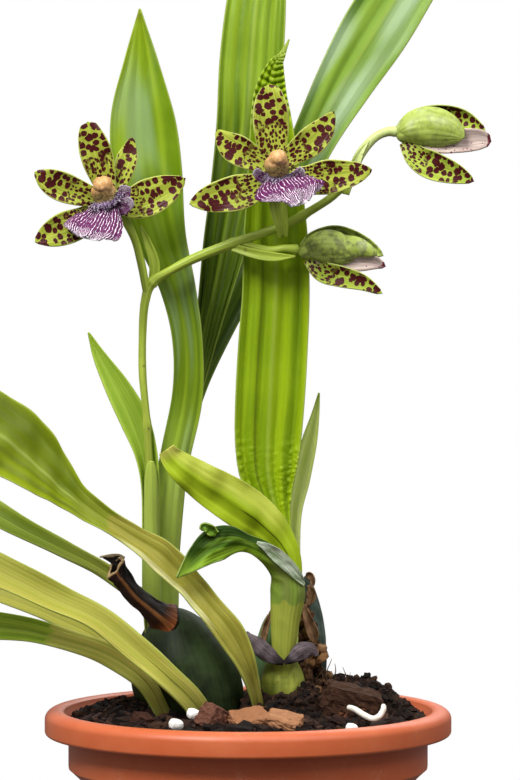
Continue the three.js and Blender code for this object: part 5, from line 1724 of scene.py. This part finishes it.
class Foot:
    """The foot of the plant: pseudobulbs, the dry stem stub, papery bracts and fibres."""

    sheaths: Sequence[Rows] = (
        ((21.7, 3, 160.2, 0.5, 40), (22.7, 3, 158.1, 1.9, 40), (22.7, 3, 155.5, 2, 40),
         (21.5, 3, 153, 0.8, 40)), ((20.6, 2, 153.4, 0.6, 40), (20.9, 2, 150.5, 1.5, 40),
         (22, 2, 146.9, 2.2, 40), (23.5, 2, 142.6, 2.6, 40), (23.8, 2, 139.7, 0.8, 40)),
        ((21, 9, 162.6, 0.5, 40), (22.1, 9, 163.4, 1.4, 40), (23.2, 9, 161.9, 1.4, 40),
         (23.6, 9, 159.4, 0.5, 40)), ((9, -1, 152.6, 0.4, 40), (7.5, -1, 148.6, 1.1, 40),
         (6.1, -1, 144.3, 1.5, 40), (5.4, -1, 140, 1.2, 40)))

    def bulbs(self) -> list[Bulb]:
        """The five pseudobulbs."""
        mature = BulbFinish("mature pseudobulb skin")
        young = BulbFinish("young pseudobulb skin", 0x5C6420, 0x969C40, 0x5A4A24, 0.5, 0x1C140C)
        mid = BulbFinish("small pseudobulb skin", 0x3E5A34, 0x6A8A5C)
        old = BulbFinish("old pseudobulb skin", 0x26332A, 0x5E6E62, 0x4A3426, 0.6, 0x2A1E14, 0.5)
        green = "mature_bulb"
        return [
            Bulb("front_pseudobulb", "pseudobulb_front", green, mature, -14.4, -8.4, 107, 46, 18.2,
                 (-12, 1), blunt=0.5, seed=1),
            Bulb("left_pseudobulb", "pseudobulb_left", green, mature, -30.5, 18, 107, 43, 12.6, seed=2),
            Bulb("small_pseudobulb", "pseudobulb_small", green, mid, 7, 6, 107, 43, 6.6, (1, 0), seed=3),
            Bulb("right_pseudobulb", "pseudobulb_right", green, old, 20.6, 13, 107, 56, 7.8, (0.6, 0),
                 seed=4),
            Bulb("young_pseudobulb", "pseudobulb_young", "young_bulb", young, 12.2, -6, 112, 25, 8.6,
                 grooves=8, blunt=0.42, seed=5),
        ]

    def dry_parts(self) -> None:
        """The hollow stub, two bracts, and the curled sheaths, dry lumps and fibres that stand for the
        third bract behind them.
        """
        stub = Husk(((-28.9, -12.4, 148.4, 6.6), (-31.6, -14.4, 150.8, 4.7), (-35.2, -15.4, 153.8, 3.7),
                     (-39.4, -16, 157.4, 3.2), (-42.8, -16.6, 161.4, 3.2), (-45.6, -17.2, 165.4, 3.5),
                     (-47.4, -17.8, 168.7, 3.8)))
        stub.skin().put("dry_stub", HuskFinish("dry hollow stem"), "dry_stem_stub", "dry_stem")
        # The torn flap is near-black: painted shade inside the stub's mouth.
        torn = (("torn_flap", DryFinish("torn wall in painted shade", 0x0C0706, 0x24140E), 0.5, 52,
                 ((-45, -15.4, 169.8, 2.6, 10), (-47, -14.8, 170.3, 1.9, 10),
                  (-48.8, -14.6, 170.7, 1.1, 10), (-50.4, -14.8, 171.2, 0.6, 10),
                  (-51.6, -15, 171.5, 0.3, 10))),
                ("torn_rim", DryFinish("torn rim", 0x8E7650, 0xDCCBA6), 0.7, 53,
                 ((-44.1, -16.4, 171.3, 0.7, 5), (-45.9, -15, 172, 0.8, 5), (-48.4, -14.6, 172.1, 0.7, 5),
                  (-50.9, -14.8, 171.9, 0.5, 5), (-52.8, -15, 171.7, 0.3, 5))))
        for name, finish, thick, seed, stations in torn:
            strip = Blade(stations, rows=36, columns=14, thickness=thick, margin=0.25, rumple=0.3,
                          rumple_size=4, seed=seed)
            strip.add_to(Skin()).put(name, finish, "dry_stem_stub", "dry_stem")
        paper = DryFinish("papery bract", 0x2C2226, 0x74676C, 0x160F11, 0.34)
        scales = (
            ("left_bract", "bract_left",
             ((12.7, -16, 134, 0.8, -20), (9.6, -16.4, 135.6, 2.3, -24), (6.4, -16, 137.9, 3.3, -28),
              (3.6, -14.6, 140.3, 3.3, -28), (1.1, -13, 142.6, 1.9, -24),
              (-0.7, -12, 144.6, 0.4, -20)), 21),
            ("right_bract", "bract_right",
             ((13, -16, 134, 0.8, -20), (16, -16.6, 136, 2.2, -24), (19.3, -15.8, 138.4, 3.6, -28),
              (22.5, -14, 138.4, 3, -26), (25, -12.4, 136.5, 0.5, -20)), 22),
        )
        for name, node, stations, seed in scales:
            scale = Blade(stations, face=(0, -1, 0.25), rows=50, columns=24, thickness=0.7,
                          margin=0.2, round=0.8, veins=7, vein=0.06, waves=3, wave=0.5,
                          rumple=0.7, rumple_size=6, seed=seed)
            scale.add_to(Skin()).put(name, paper, node, "papery_bract")
        curled = Skin()
        for seed, stations in enumerate(self.sheaths, 50):
            Blade(stations, rows=40, columns=18, thickness=0.6, margin=0.2, round=1.0, rumple=0.9,
                  rumple_size=4, waves=2, wave=0.4, seed=seed).add_to(curled)
        for name, skin, finish in (
            ("sheath_lumps", self.lumps(),
             BarkFinish("dry sheath lumps", 0x3A2416, 0x8E6640, 0xCCA67C, 0.35)),
            ("curled_sheaths", curled, DryFinish("curled dry sheath", 0x5A3A24, 0xB08A64)),
            ("sheath_fibres", self.fibres(), DryFinish("dry sheath fibres", 0x24160E, 0x7E5C3C)),
        ):
            skin.put(name, finish, "bract_back", "papery_bract")

    def lumps(self) -> Skin:
        """Crumbling lumps of old sheaths, heaped against the right pseudobulb.

        Their middles lie by chance round a line that rises to the bulb's tip, closer to it the
        higher they are.
        """
        draw = np.random.default_rng(41)
        count = 110
        rise = draw.random(count) ** 1.3
        spread = 8.4 * (1 - rise) ** 1.2 + 1.4
        x = 28.6 - 9.6 * rise**0.8 + spread * draw.uniform(-1, 0.9, count)
        y = 4 + 2 * rise + draw.uniform(-6, 4, count) * (1.1 - rise)
        at = np.stack([x, y, 114 + 43 * rise], -1)
        long = draw.uniform(2.6, 6.6, count) * (1.1 - 0.4 * rise)
        size = long[:, None] * draw.uniform(0.6, 1.1, (count, 3))
        return add_chunks(Skin(), at, size, draw.uniform(0, 360, (count, 3)), 42, 4, 0.42, 0.6)

    def fibres(self) -> Skin:
        """Dry fibres of old sheaths, in a loose tuft between the young and the right pseudobulb.

        A fibre rises from a chance foot, leans towards the right pseudobulb, and curls as two sine
        waves that grow along it.
        """
        draw = np.random.default_rng(40)
        count, steps = 60, 14
        share = np.linspace(0, 1, steps)
        foot_x, foot_y = draw.uniform(17, 37, count), draw.uniform(-2, 12, count)
        tall = draw.uniform(5, 24, count) * (1 - 0.03 * np.abs(foot_x - 25))
        lean_x, lean_y = draw.normal(0, 4, count) + (25 - foot_x) * 0.5, draw.normal(0, 3, count)
        phase = draw.uniform(0, 2 * np.pi, (2, count))
        curl = draw.uniform(0.4, 2.2, count)
        swing = share * curl[:, None]
        x = foot_x[:, None] + lean_x[:, None] * share + swing * np.sin(9 * share + phase[0][:, None])
        y = foot_y[:, None] + lean_y[:, None] * share + swing * np.sin(8 * share + phase[1][:, None])
        z = 113.5 + tall[:, None] * share
        return add_strands(Skin(), np.stack([x, y, z], -1), draw.uniform(0.2, 0.5, count))

    def build(self) -> None:
        """Puts the foot of the plant in the scene."""
        for bulb in self.bulbs():
            bulb.build()
        self.dry_parts()


@dataclass
class Spike:
    """The flower spike: a jointed stalk, three pedicels and their small bracts."""

    stalk: Rows = (
        (-34.5, 3.6, 114, 1.5), (-34.8, 3.8, 140, 1.5), (-35.5, 4.6, 169, 1.4), (-35.5, 4.4, 196, 1.4),
        (-36.5, 3, 218, 1.3), (-38, 2, 236, 1.4), (-38, 1, 252, 1.4), (-37, 0, 263, 1.6),
        (-34.5, 0, 269.5, 1.9), (-27.5, -1.5, 274, 1.6), (-18.5, -2.6, 278.5, 1.8), (-5.5, -4, 283.5, 1.8),
        (5, -5, 287, 1.6), (14, -5, 290.5, 1.7), (23, -5, 295.5, 1.5), (31, -4.5, 301, 1.5),
        (36.5, -4, 307.5, 1.8), (40, -4, 315, 1.8), (45, -4, 321, 1.6), (50, -4, 323.5, 1.7),
        (54.4, -4, 323.4, 2.2))
    pedicels: Sequence[Rows] = (
        ((-3.5, -4, 284, 1.2), (7, -5, 281.2, 1.4), (13.5, -5.6, 281.6, 1.5), (18.6, -6, 281, 2.2)),
        ((13, -5, 289, 1.4), (12, -5.5, 294, 1.8), (10.8, -7, 300, 1.8), (10.4, -9.5, 306.5, 1.9)),
        ((-36.3, 0, 265, 1.4), (-38.5, -2, 277, 1.5), (-41, -3.6, 286, 1.5), (-46.8, -5.4, 297.2, 1.9)))
    bracts: Sequence[Rows] = (
        ((-34.5, 0.2, 268, 1.6, 20), (-33.6, -1.2, 276, 2, 20), (-36, -2, 283.5, 1.5, 20),
         (-38.6, -2.4, 290, 0.3, 20)), ((12.6, -6.4, 286, 1.8, 30), (12, -8.6, 290, 2.6, 30),
         (11, -9.6, 294.6, 3.3, 26), (10.4, -9.8, 299, 3, 24), (10, -9.6, 302.5, 1.6, 20)),
        ((35, -5.4, 301, 1.4, 34), (36.2, -6.2, 306.6, 2.3, 34), (38.2, -6.4, 311.6, 2, 34),
         (40.6, -6, 316.6, 1.2, 30), (43.4, -5.4, 320.4, 0.3, 30)), ((-5.5, -4.6, 282, 1.4, 20),
         (3, -6.4, 279.6, 1.8, 20), (10, -7, 278.6, 1.6, 20), (17, -7, 278.8, 0.3, 20)))
    joints: Sequence[float] = (0.2, 0.4, 0.55, 0.68)

    def swellings(self, t: Array, turn: Array, radius: Array) -> Array:
        """Thicker rings at the stalk's joints, as bells in the share along."""
        rings = sum(bump_at(t, joint, 0.006) for joint in self.joints)
        return 0.35 * rings + 0.05 * rumple(turn * 3, t * 120, 3, 6.0)

    def build(self) -> None:
        """Puts the spike in the scene."""
        skin = Stem(self.stalk, rows=300, sides=28, relief=self.swellings).add_to(Skin())
        for seed, pedicel in enumerate(self.pedicels, 2):
            Stem(pedicel, rows=60, sides=24, seed=seed).add_to(skin)
        for seed, bract in enumerate(self.bracts, 5):
            Blade(bract, rows=40, columns=16, thickness=0.6, margin=0.25, round=0.8,
                  seed=seed).add_to(skin)
        skin.put("orchid_spike", StalkFinish("spike green"), "flower_spike", "spike_green")


def frilled(t: Array, v: Array, half: Array) -> Array:
    """The lip's relief: its right side swept up, and a frill of two sine waves near its edge."""
    edge = np.maximum(t, 0) ** 4
    swept = 5.5 * t**2 * smooth(v, 0.15, 1.0) + 1.5 * t**2 * smooth(v, -0.5, -1.0)
    return swept + edge * (0.8 * np.sin(9.5 * v + 1) + 0.45 * np.sin(19 * v + 2.4))


def lobed(v: Array) -> Array:
    """How far the lip reaches at share v across: two unequal lobes and a finely cut edge."""
    cut = 0.012 * np.sin(31 * v) + 0.01 * np.sin(47 * v + 1)
    return 1 - 0.24 * np.abs(v) ** 3 - 0.05 * bump_at(v, -0.1, 0.14) + cut


def blunted(v: Array) -> Array:
    """How far a tepal reaches at share v across: a round end with a small point."""
    return 1 - 0.05 * v * v + 0.012 * bump_at(v, 0, 0.22) - 0.012


def ribbed(t: Array, turn: Array, radius: Array) -> Array:
    """The callus's ribs: a cosine along it."""
    return 0.2 * np.cos(2 * np.pi * 11 * t)


def uneven(t: Array, turn: Array, radius: Array) -> Array:
    """Soft chance dents of a fleshy body."""
    return 0.3 * rumple(np.cos(turn) * 3, t * 12 + np.sin(turn) * 3, 17, 3.0)


@dataclass(frozen=True)
class Bloom:
    """An open bloom: five tepals round a small heart, the column, the callus and the lip."""

    name: str
    node: str
    heart: Row
    tepals: Sequence[Rows]
    column: Rows
    callus: Rows
    lip: Rows
    lip_face: Row
    seed: int
    cap: Rows
    ears: Sequence[Rows]
    wax_below: float = 5.6

    def build(self) -> None:
        """Puts the bloom's pieces in the scene."""
        x, y, z, radius = self.heart
        heart = ((x, y + radius, z, radius * 0.7), (x, y, z, radius), (x, y - radius, z, radius * 0.8))
        tepals = Stem(heart, beside=SIDEWAYS, rows=24, sides=28).add_to(Skin())
        for seed, stations in enumerate(self.tepals, self.seed):
            Blade(stations, rows=64, columns=30, veins=9, vein=0.07, rumple=0.45, rumple_size=11,
                  waves=1.5, wave=0.45, reach=blunted, round=0.9, seed=seed, **PETAL).add_to(tepals)
        column = Stem(self.column, beside=SIDEWAYS, rows=50, sides=36, relief=uneven).add_to(Skin())
        Stem(self.cap, beside=SIDEWAYS, rows=40, sides=32, relief=uneven, seed=2).add_to(column)
        callus = Stem(self.callus, beside=(0, 0, 1), rows=90, sides=24, relief=ribbed).add_to(Skin())
        lip = Blade(self.lip, face=self.lip_face, rows=70, columns=80, ridges=3, ridge=0.4,
                    rumple=0.3, rumple_size=7, relief=frilled, reach=lobed, round=1.0,
                    seed=self.seed + 9, **PETAL).add_to(Skin())
        for seed, stations in enumerate(self.ears, self.seed + 20):
            Blade(stations, rows=24, columns=20, rumple=0.5, rumple_size=4, reach=blunted,
                  round=1.0, seed=seed, **PETAL).add_to(lip)
        wax = ColumnFinish(f"{self.name} column wax", (self.cap[0][2] - self.wax_below) * MM)
        for skin, part, finish, node, slot in (
            (tepals, "tepals", TepalFinish("spotted tepal"), "tepals", "spotted_tepal"),
            (column, "column", wax, "column", "peach_column"),
            (callus, "callus", CallusFinish("ribbed callus"), "column", "peach_column"),
            (self.hairs(), "hairs", HairFinish("callus hairs"), "column", "peach_column"),
            (lip, "lip", LipFinish("veined lip"), "lip", "veined_lip"),
        ):
            skin.put(f"{self.name}_{part}", finish, f"{self.node}_{node}", slot)

    def hairs(self) -> Skin:
        """Short hairs on the callus, each bent forward along its own curve."""
        draw = np.random.default_rng(self.seed)
        count, steps = 320, 5
        share = np.linspace(0, 1, steps)
        spine = through(np.array(self.callus, float), draw.random(count))
        way = unit(draw.normal(0, 1, (count, 3)) + np.array([0, -1.2, 0.5]))
        foot = spine[:, :3] + way * spine[:, 3:] * 0.95
        long = draw.uniform(0.5, 1.3, count)
        sag = np.array([0, -0.35, -0.5])
        path = foot[:, None] + way[:, None] * (long[:, None] * share)[..., None]
        path = path + sag * (long[:, None] * share**2)[..., None]
        return add_strands(Skin(), path, np.full(count, 0.09), 3)


@dataclass(frozen=True)
class Bud:
    """A half-open bud: three sepals round a small heart, and the petals between them."""

    name: str
    node: str
    heart: Row
    sepals: Sequence[Rows]
    petals: Rows
    seed: int
    cloud: float = 0.3
    plain: Sequence[int] = (1,)

    def build(self) -> None:
        """Puts the bud's pieces in the scene."""
        x, y, z, radius = self.heart
        heart = ((x - radius, y, z, radius * 0.8), (x, y, z, radius), (x + radius, y, z, radius * 0.8))
        hood, spotted = Stem(heart, rows=24, sides=28).add_to(Skin()), Skin()
        for number, stations in enumerate(self.sepals):
            Blade(stations, rows=64, columns=34, veins=9, vein=0.06, rumple=0.4, rumple_size=10,
                  reach=blunted, round=0.95, seed=self.seed + number,
                  **PETAL).add_to(hood if number in self.plain else spotted)
        petals = Blade(self.petals, rows=50, columns=26, thickness=1.2, margin=0.4, round=0.9,
                       rumple=0.5, rumple_size=7, reach=blunted, seed=self.seed + 5).add_to(Skin())
        green = HoodFinish(f"{self.name} hood green", cloud=self.cloud)
        marked = TepalFinish("spotted sepal", 0xB4C44A, 0x98AC34)
        hood.put(f"{self.name}_hood", green, f"{self.node}_sepals", "spotted_sepal")
        spotted.put(f"{self.name}_sepals", marked, f"{self.node}_sepals", "spotted_sepal")
        petals.put(f"{self.name}_petals", PetalFinish("mauve petal"), f"{self.node}_petals",
                   "mauve_petal")


class Inflorescence:
    """The spike with its two open blooms and two half-open buds."""

    def blooms(self) -> list[Bloom]:
        """The open blooms."""
        centre = Bloom(
            "centre_bloom", "bloom_centre", (10.4, -12.6, 309.5, 4.2),
            (((10.3, -12.6, 310, 2.6, 6), (8.8, -14, 318, 5.4, 10), (8.2, -15, 325.5, 6.5, 12),
              (8, -15.4, 331.5, 6.2, 12), (7.8, -15.4, 336.2, 4.6, 10), (7.4, -15, 339.6, 2, 8)),
             ((9.6, -12.6, 310.4, 2.4, 6), (3.4, -14, 312.8, 4.2, 10), (-2.6, -15, 315.8, 5.4, 12),
              (-7, -15.2, 318.8, 4.6, 10), (-11.4, -15, 323.6, 0.7, 8)), ((11.4, -12.6, 310.6, 2.4, 6),
              (17.2, -14, 315.6, 4.2, 10), (22.4, -15, 319.4, 5.4, 12), (26.8, -15.2, 324, 4.3, 10),
              (30.6, -15, 330.2, 0.7, 8)), ((9.6, -12.6, 307.6, 2.6, 6), (3, -14, 303.4, 5.2, 10),
              (-4, -15, 301.2, 6.5, 12), (-12, -15.6, 299.4, 5.4, 12), (-16.6, -15.4, 298.4, 3.6, 10),
              (-20.8, -15, 297.2, 0.6, 8)), ((12, -12.6, 308, 2.6, 6), (20.5, -14, 306, 5, 10),
              (28.5, -15, 306.8, 6.3, 12), (35.4, -15.4, 307.8, 5, 12), (40, -15.2, 308.6, 3.4, 10),
              (44.2, -15, 309.4, 0.6, 8))),
            ((10.4, -16.8, 309.2, 3.4), (10.3, -19.6, 310.2, 4.3), (10.2, -22.2, 310.6, 4.1),
             (10.2, -24.4, 310.8, 2.6)),
            ((6.6, -18.6, 307, 1.1), (8.4, -20, 305.8, 1.5), (10.8, -20.4, 305.4, 1.6),
             (13.4, -20, 305.8, 1.5), (15.6, -18.6, 307, 1.1)),
            ((11.6, -16, 306.8, 3, 0), (12.3, -19, 306.5, 8.5, -6), (13.5, -22.4, 304.9, 11.7, -10),
             (14.9, -25.6, 303.1, 13.4, -12), (16.6, -27.8, 300, 10.9, -14), (18.3, -29, 296.6, 7, -14)),
            (-0.2, -0.35, 1), 50,
            ((10.6, -18.6, 312.4, 2.6), (10.8, -21.4, 313, 3.2), (10.6, -24, 312.6, 2.9),
             (10.4, -25.8, 311.6, 1.6)),
            (((8.6, -17.6, 304.4, 1.4, 0), (5.2, -19.4, 306.4, 2, 20), (2.2, -20.2, 309, 1.5, 30)),
             ((13.4, -17.6, 304.6, 1.4, 0), (17, -19.8, 307, 2, 20), (19.6, -20.6, 309.6, 1.4, 30))))
        left = Bloom(
            "left_bloom", "bloom_left", (-49.4, -8, 299.2, 4.2),
            (((-50, -8.4, 300, 2.6, 6), (-52.2, -10, 309, 5.2, 10), (-54.4, -11.4, 316.4, 5.8, 12),
              (-56, -12, 322, 4.6, 10), (-57, -12, 326.6, 2.4, 8)), ((-48, -8, 301, 2.4, 6),
              (-44.8, -7.4, 308.6, 3.6, 10), (-43, -6.6, 314.6, 3.7, 10), (-41.4, -6, 321.4, 0.7, 8)),
             ((-51, -9, 298.6, 2.4, 6), (-58.6, -12, 300.8, 4.4, 10), (-66, -14.4, 303.4, 5.4, 12),
              (-71.4, -15.6, 306, 4.2, 10), (-75.8, -16, 308.6, 0.7, 8)), ((-51, -9, 297, 2.6, 6),
              (-58.6, -11.6, 291.4, 5.2, 10), (-65, -13.4, 288.6, 6, 12), (-71, -14.6, 286, 4.4, 10),
              (-75.8, -15, 283.8, 0.7, 8)), ((-47.6, -8, 297, 2.6, 6), (-41.4, -8, 297.6, 5.6, 10),
              (-35, -8.2, 300, 6.8, 12), (-28.4, -8.2, 303.2, 5.2, 12), (-22.2, -8, 306.8, 0.8, 8))),
            ((-50.4, -12, 299.8, 3.6), (-51, -14.4, 300.8, 4.5), (-51.6, -17, 301.4, 4.3),
             (-52, -19, 301.4, 2.8)),
            ((-55.4, -14.6, 296.6, 1.1), (-53, -16.2, 296.2, 1.5), (-50, -16.4, 297, 1.6),
             (-47, -15.4, 299, 1.5), (-45, -13.6, 301.4, 1.1)),
            ((-49.6, -11, 297.4, 3, 0), (-51.2, -14.6, 295.4, 6.2, -6), (-53, -17.8, 292.6, 9.6, -10),
             (-55, -20.6, 289.4, 11.4, -12), (-56.2, -22, 287, 10.8, -14), (-57, -22.8, 285, 8.4, -14)),
            (-0.24, -0.71, 0.44), 70,
            ((-50.4, -13.4, 303, 2.8), (-51.2, -16, 303.8, 3.4), (-52, -18.4, 303.2, 3.1),
             (-52.6, -20, 302.2, 1.8)),
            (((-47.2, -12.6, 297, 1.8, 0), (-44.2, -13.8, 300.4, 2.4, 20), (-43.4, -14, 304, 2, 30)),
             ((-48, -12.6, 295.4, 2, 0), (-44.4, -14.6, 296.4, 3, 14), (-40.8, -15.4, 298.6, 1.6, 24))))
        return [centre, left]

    def buds(self) -> list[Bud]:
        """The half-open buds."""
        upper = Bud(
            "upper_bud", "bud_upper", (56, -4.2, 322.4, 3),
            (((54.6, -3.6, 323, 2.2, 20), (59.4, -1.6, 327.4, 4.6, 40), (67.6, -1, 329, 5.4, 42),
              (76.6, -1.6, 327.8, 4.6, 36), (85.4, -3.4, 323.2, 1.2, 20)), ((53.8, -5.4, 322.6, 3.2, -20),
              (58.4, -8.6, 324.2, 7.9, -34), (65, -9.8, 325, 9.1, -36), (71.4, -9.2, 323.8, 7.2, -30),
              (77.4, -8, 321.4, 1.8, -16)), ((56, -4.2, 320, 2.2, 12), (60.6, -5.6, 314.2, 4.6, 20),
              (66.4, -6.4, 311, 5.4, 22), (74.4, -6.6, 308.2, 3.8, 18), (81, -6.4, 305.6, 0.8, 12))),
            ((60, -4.6, 321.4, 3, 10), (68, -5, 320, 4.4, 20), (76, -5, 320.2, 4.6, 24),
             (83, -4.6, 320.6, 3.8, 20), (87.2, -4.4, 320, 1.6, 10)), 90)
        lower = Bud(
            "lower_bud", "bud_lower", (21, -6.2, 280.4, 3),
            (((19.8, -5.4, 281.4, 2.2, 20), (24.4, -3.4, 284.8, 4.2, 40), (32, -2.8, 286.2, 4.8, 42),
              (41, -3.4, 282.8, 4.2, 36), (48.6, -5.2, 279, 0.8, 20)), ((19.8, -7, 280.6, 2.6, -20),
              (23.4, -10, 281.6, 6.6, -34), (28.6, -11.2, 282, 7.8, -36), (34, -10.8, 281.4, 6.4, -30),
              (38.4, -10.4, 282, 4.4, -28), (42.4, -10, 281, 2.8, -24), (46.2, -9.4, 279.2, 0.8, -16)),
             ((21.6, -6.2, 278, 2.2, 12), (26.6, -7.4, 273.4, 3.9, 20), (33, -8.2, 271.6, 4.1, 22),
              (41, -8.4, 269.4, 3, 18), (48.2, -8.2, 265.4, 0.7, 12))),
            ((25, -6.6, 279.4, 3, 10), (32, -7, 277.6, 4, 20), (39, -7, 277, 3.8, 22),
             (45, -6.6, 276.6, 2.6, 16), (49.4, -6.2, 275.2, 0.7, 8)), 100, 0.6, (0, 1))
        return [upper, lower]

    def build(self) -> None:
        """Puts the spike and its flowers in the scene."""
        Spike().build()
        for flower in (*self.blooms(), *self.buds()):
            flower.build()


# ---- Studio -------------------------------------------------------------------------------


class Lamp(Enum):
    """The studio's soft lamps: place, side in metres, power in watts, and colour."""

    TOP = ((-0.1, -0.45, 1.75), 1.3, 7.0, (1.0, 0.99, 0.97))
    KEY = ((-0.75, -1.05, 1.5), 0.7, 33.0, (1.0, 0.99, 0.965))
    FILL = ((0.9, -1.0, 1.45), 1.0, 13.0, (1.0, 1.0, 0.99))
    BACK = ((0.4, 1.2, 1.2), 1.0, 9.0, (1.0, 1.0, 1.0))


@dataclass
class Studio:
    """The pale floor, the white surround, the lamps and the camera."""

    floor_side: float = 1.1
    above: float = 0.5
    below: float = 0.14
    lens: float = 153.8
    sensor: float = 36.0
    camera_at: Row = (0.0043, -1.2, 0.2589)
    camera_down: float = 1.34
    look_at: Row = (0.0, 0.0, 0.24)

    def build(self) -> None:
        """Makes the studio round the plant."""
        self.make_floor()
        self.make_surround()
        for lamp in Lamp:
            self.make_lamp(lamp)
        self.make_camera()

    def make_floor(self) -> None:
        """A square floor under the pot, which throws no light back up."""
        half = self.floor_side / 2
        mesh = bpy.data.meshes.new("studio_floor")
        corners = [(-half, -half, 0), (half, -half, 0), (half, half, 0), (-half, half, 0)]
        mesh.from_pydata(corners, [], [(0, 1, 2, 3)])
        mesh.materials.append(FloorFinish("studio floor").material())
        floor = in_scene("studio_floor", mesh)
        floor.visible_diffuse = False
        floor.visible_glossy = False

    def make_surround(self) -> None:
        """Soft white light, stronger from above, and plain white where the camera sees it."""
        world = bpy.data.worlds.new("studio surround")
        g = Graph(world)
        height = g.apart(g.node("ShaderNodeTexCoord", {}).outputs["Generated"])[2]
        feeds = {"Value": height, "From Min": -0.3, "From Max": 0.5, "To Min": self.below,
                 "To Max": self.above}
        rise = g.node("ShaderNodeMapRange", feeds, interpolation_type="SMOOTHSTEP").outputs[0]
        light = g.node("ShaderNodeBackground", {"Color": WHITE, "Strength": rise}).outputs[0]
        seen = g.node("ShaderNodeBackground", {"Color": WHITE}).outputs[0]
        straight = g.node("ShaderNodeLightPath", {}).outputs["Is Camera Ray"]
        mix = g.node("ShaderNodeMixShader", {0: straight, 1: light, 2: seen}).outputs[0]
        g.node("ShaderNodeOutputWorld", {0: mix})
        bpy.context.scene.world = world
        bpy.context.scene.view_settings.view_transform = "Standard"

    def make_lamp(self, lamp: Lamp) -> None:
        """One square soft lamp, turned to the plant."""
        at, side, power, colour = lamp.value
        data = bpy.data.lights.new(f"{lamp.name.lower()}_lamp", "AREA")
        data.size, data.energy, data.color = side, power, colour
        made = in_scene(data.name, data)
        aim = np.array(self.look_at) - np.array(at)
        made.location = at
        flat_length = math.hypot(aim[0], aim[1])
        made.rotation_euler = (math.atan2(flat_length, -aim[2]), 0, math.atan2(-aim[0], aim[1]))

    def make_camera(self) -> None:
        """The camera, level with the blooms and tipped a little down."""
        data = bpy.data.cameras.new("studio_camera")
        data.lens, data.sensor_width = self.lens, self.sensor
        camera = in_scene("studio_camera", data)
        camera.location = self.camera_at
        camera.rotation_euler = (math.radians(90 - self.camera_down), 0, 0)
        bpy.context.scene.camera = camera


def main() -> None:
    """Builds the studio, the pot and the plant."""
    logging.basicConfig(level=logging.INFO, format="%(message)s")
    for part in (Studio(), Pot(), PottingMix(), Foot(), Leaves(), Inflorescence()):
        log.info("building %s", type(part).__name__)
        part.build()


if __name__ == "__main__":
    main()
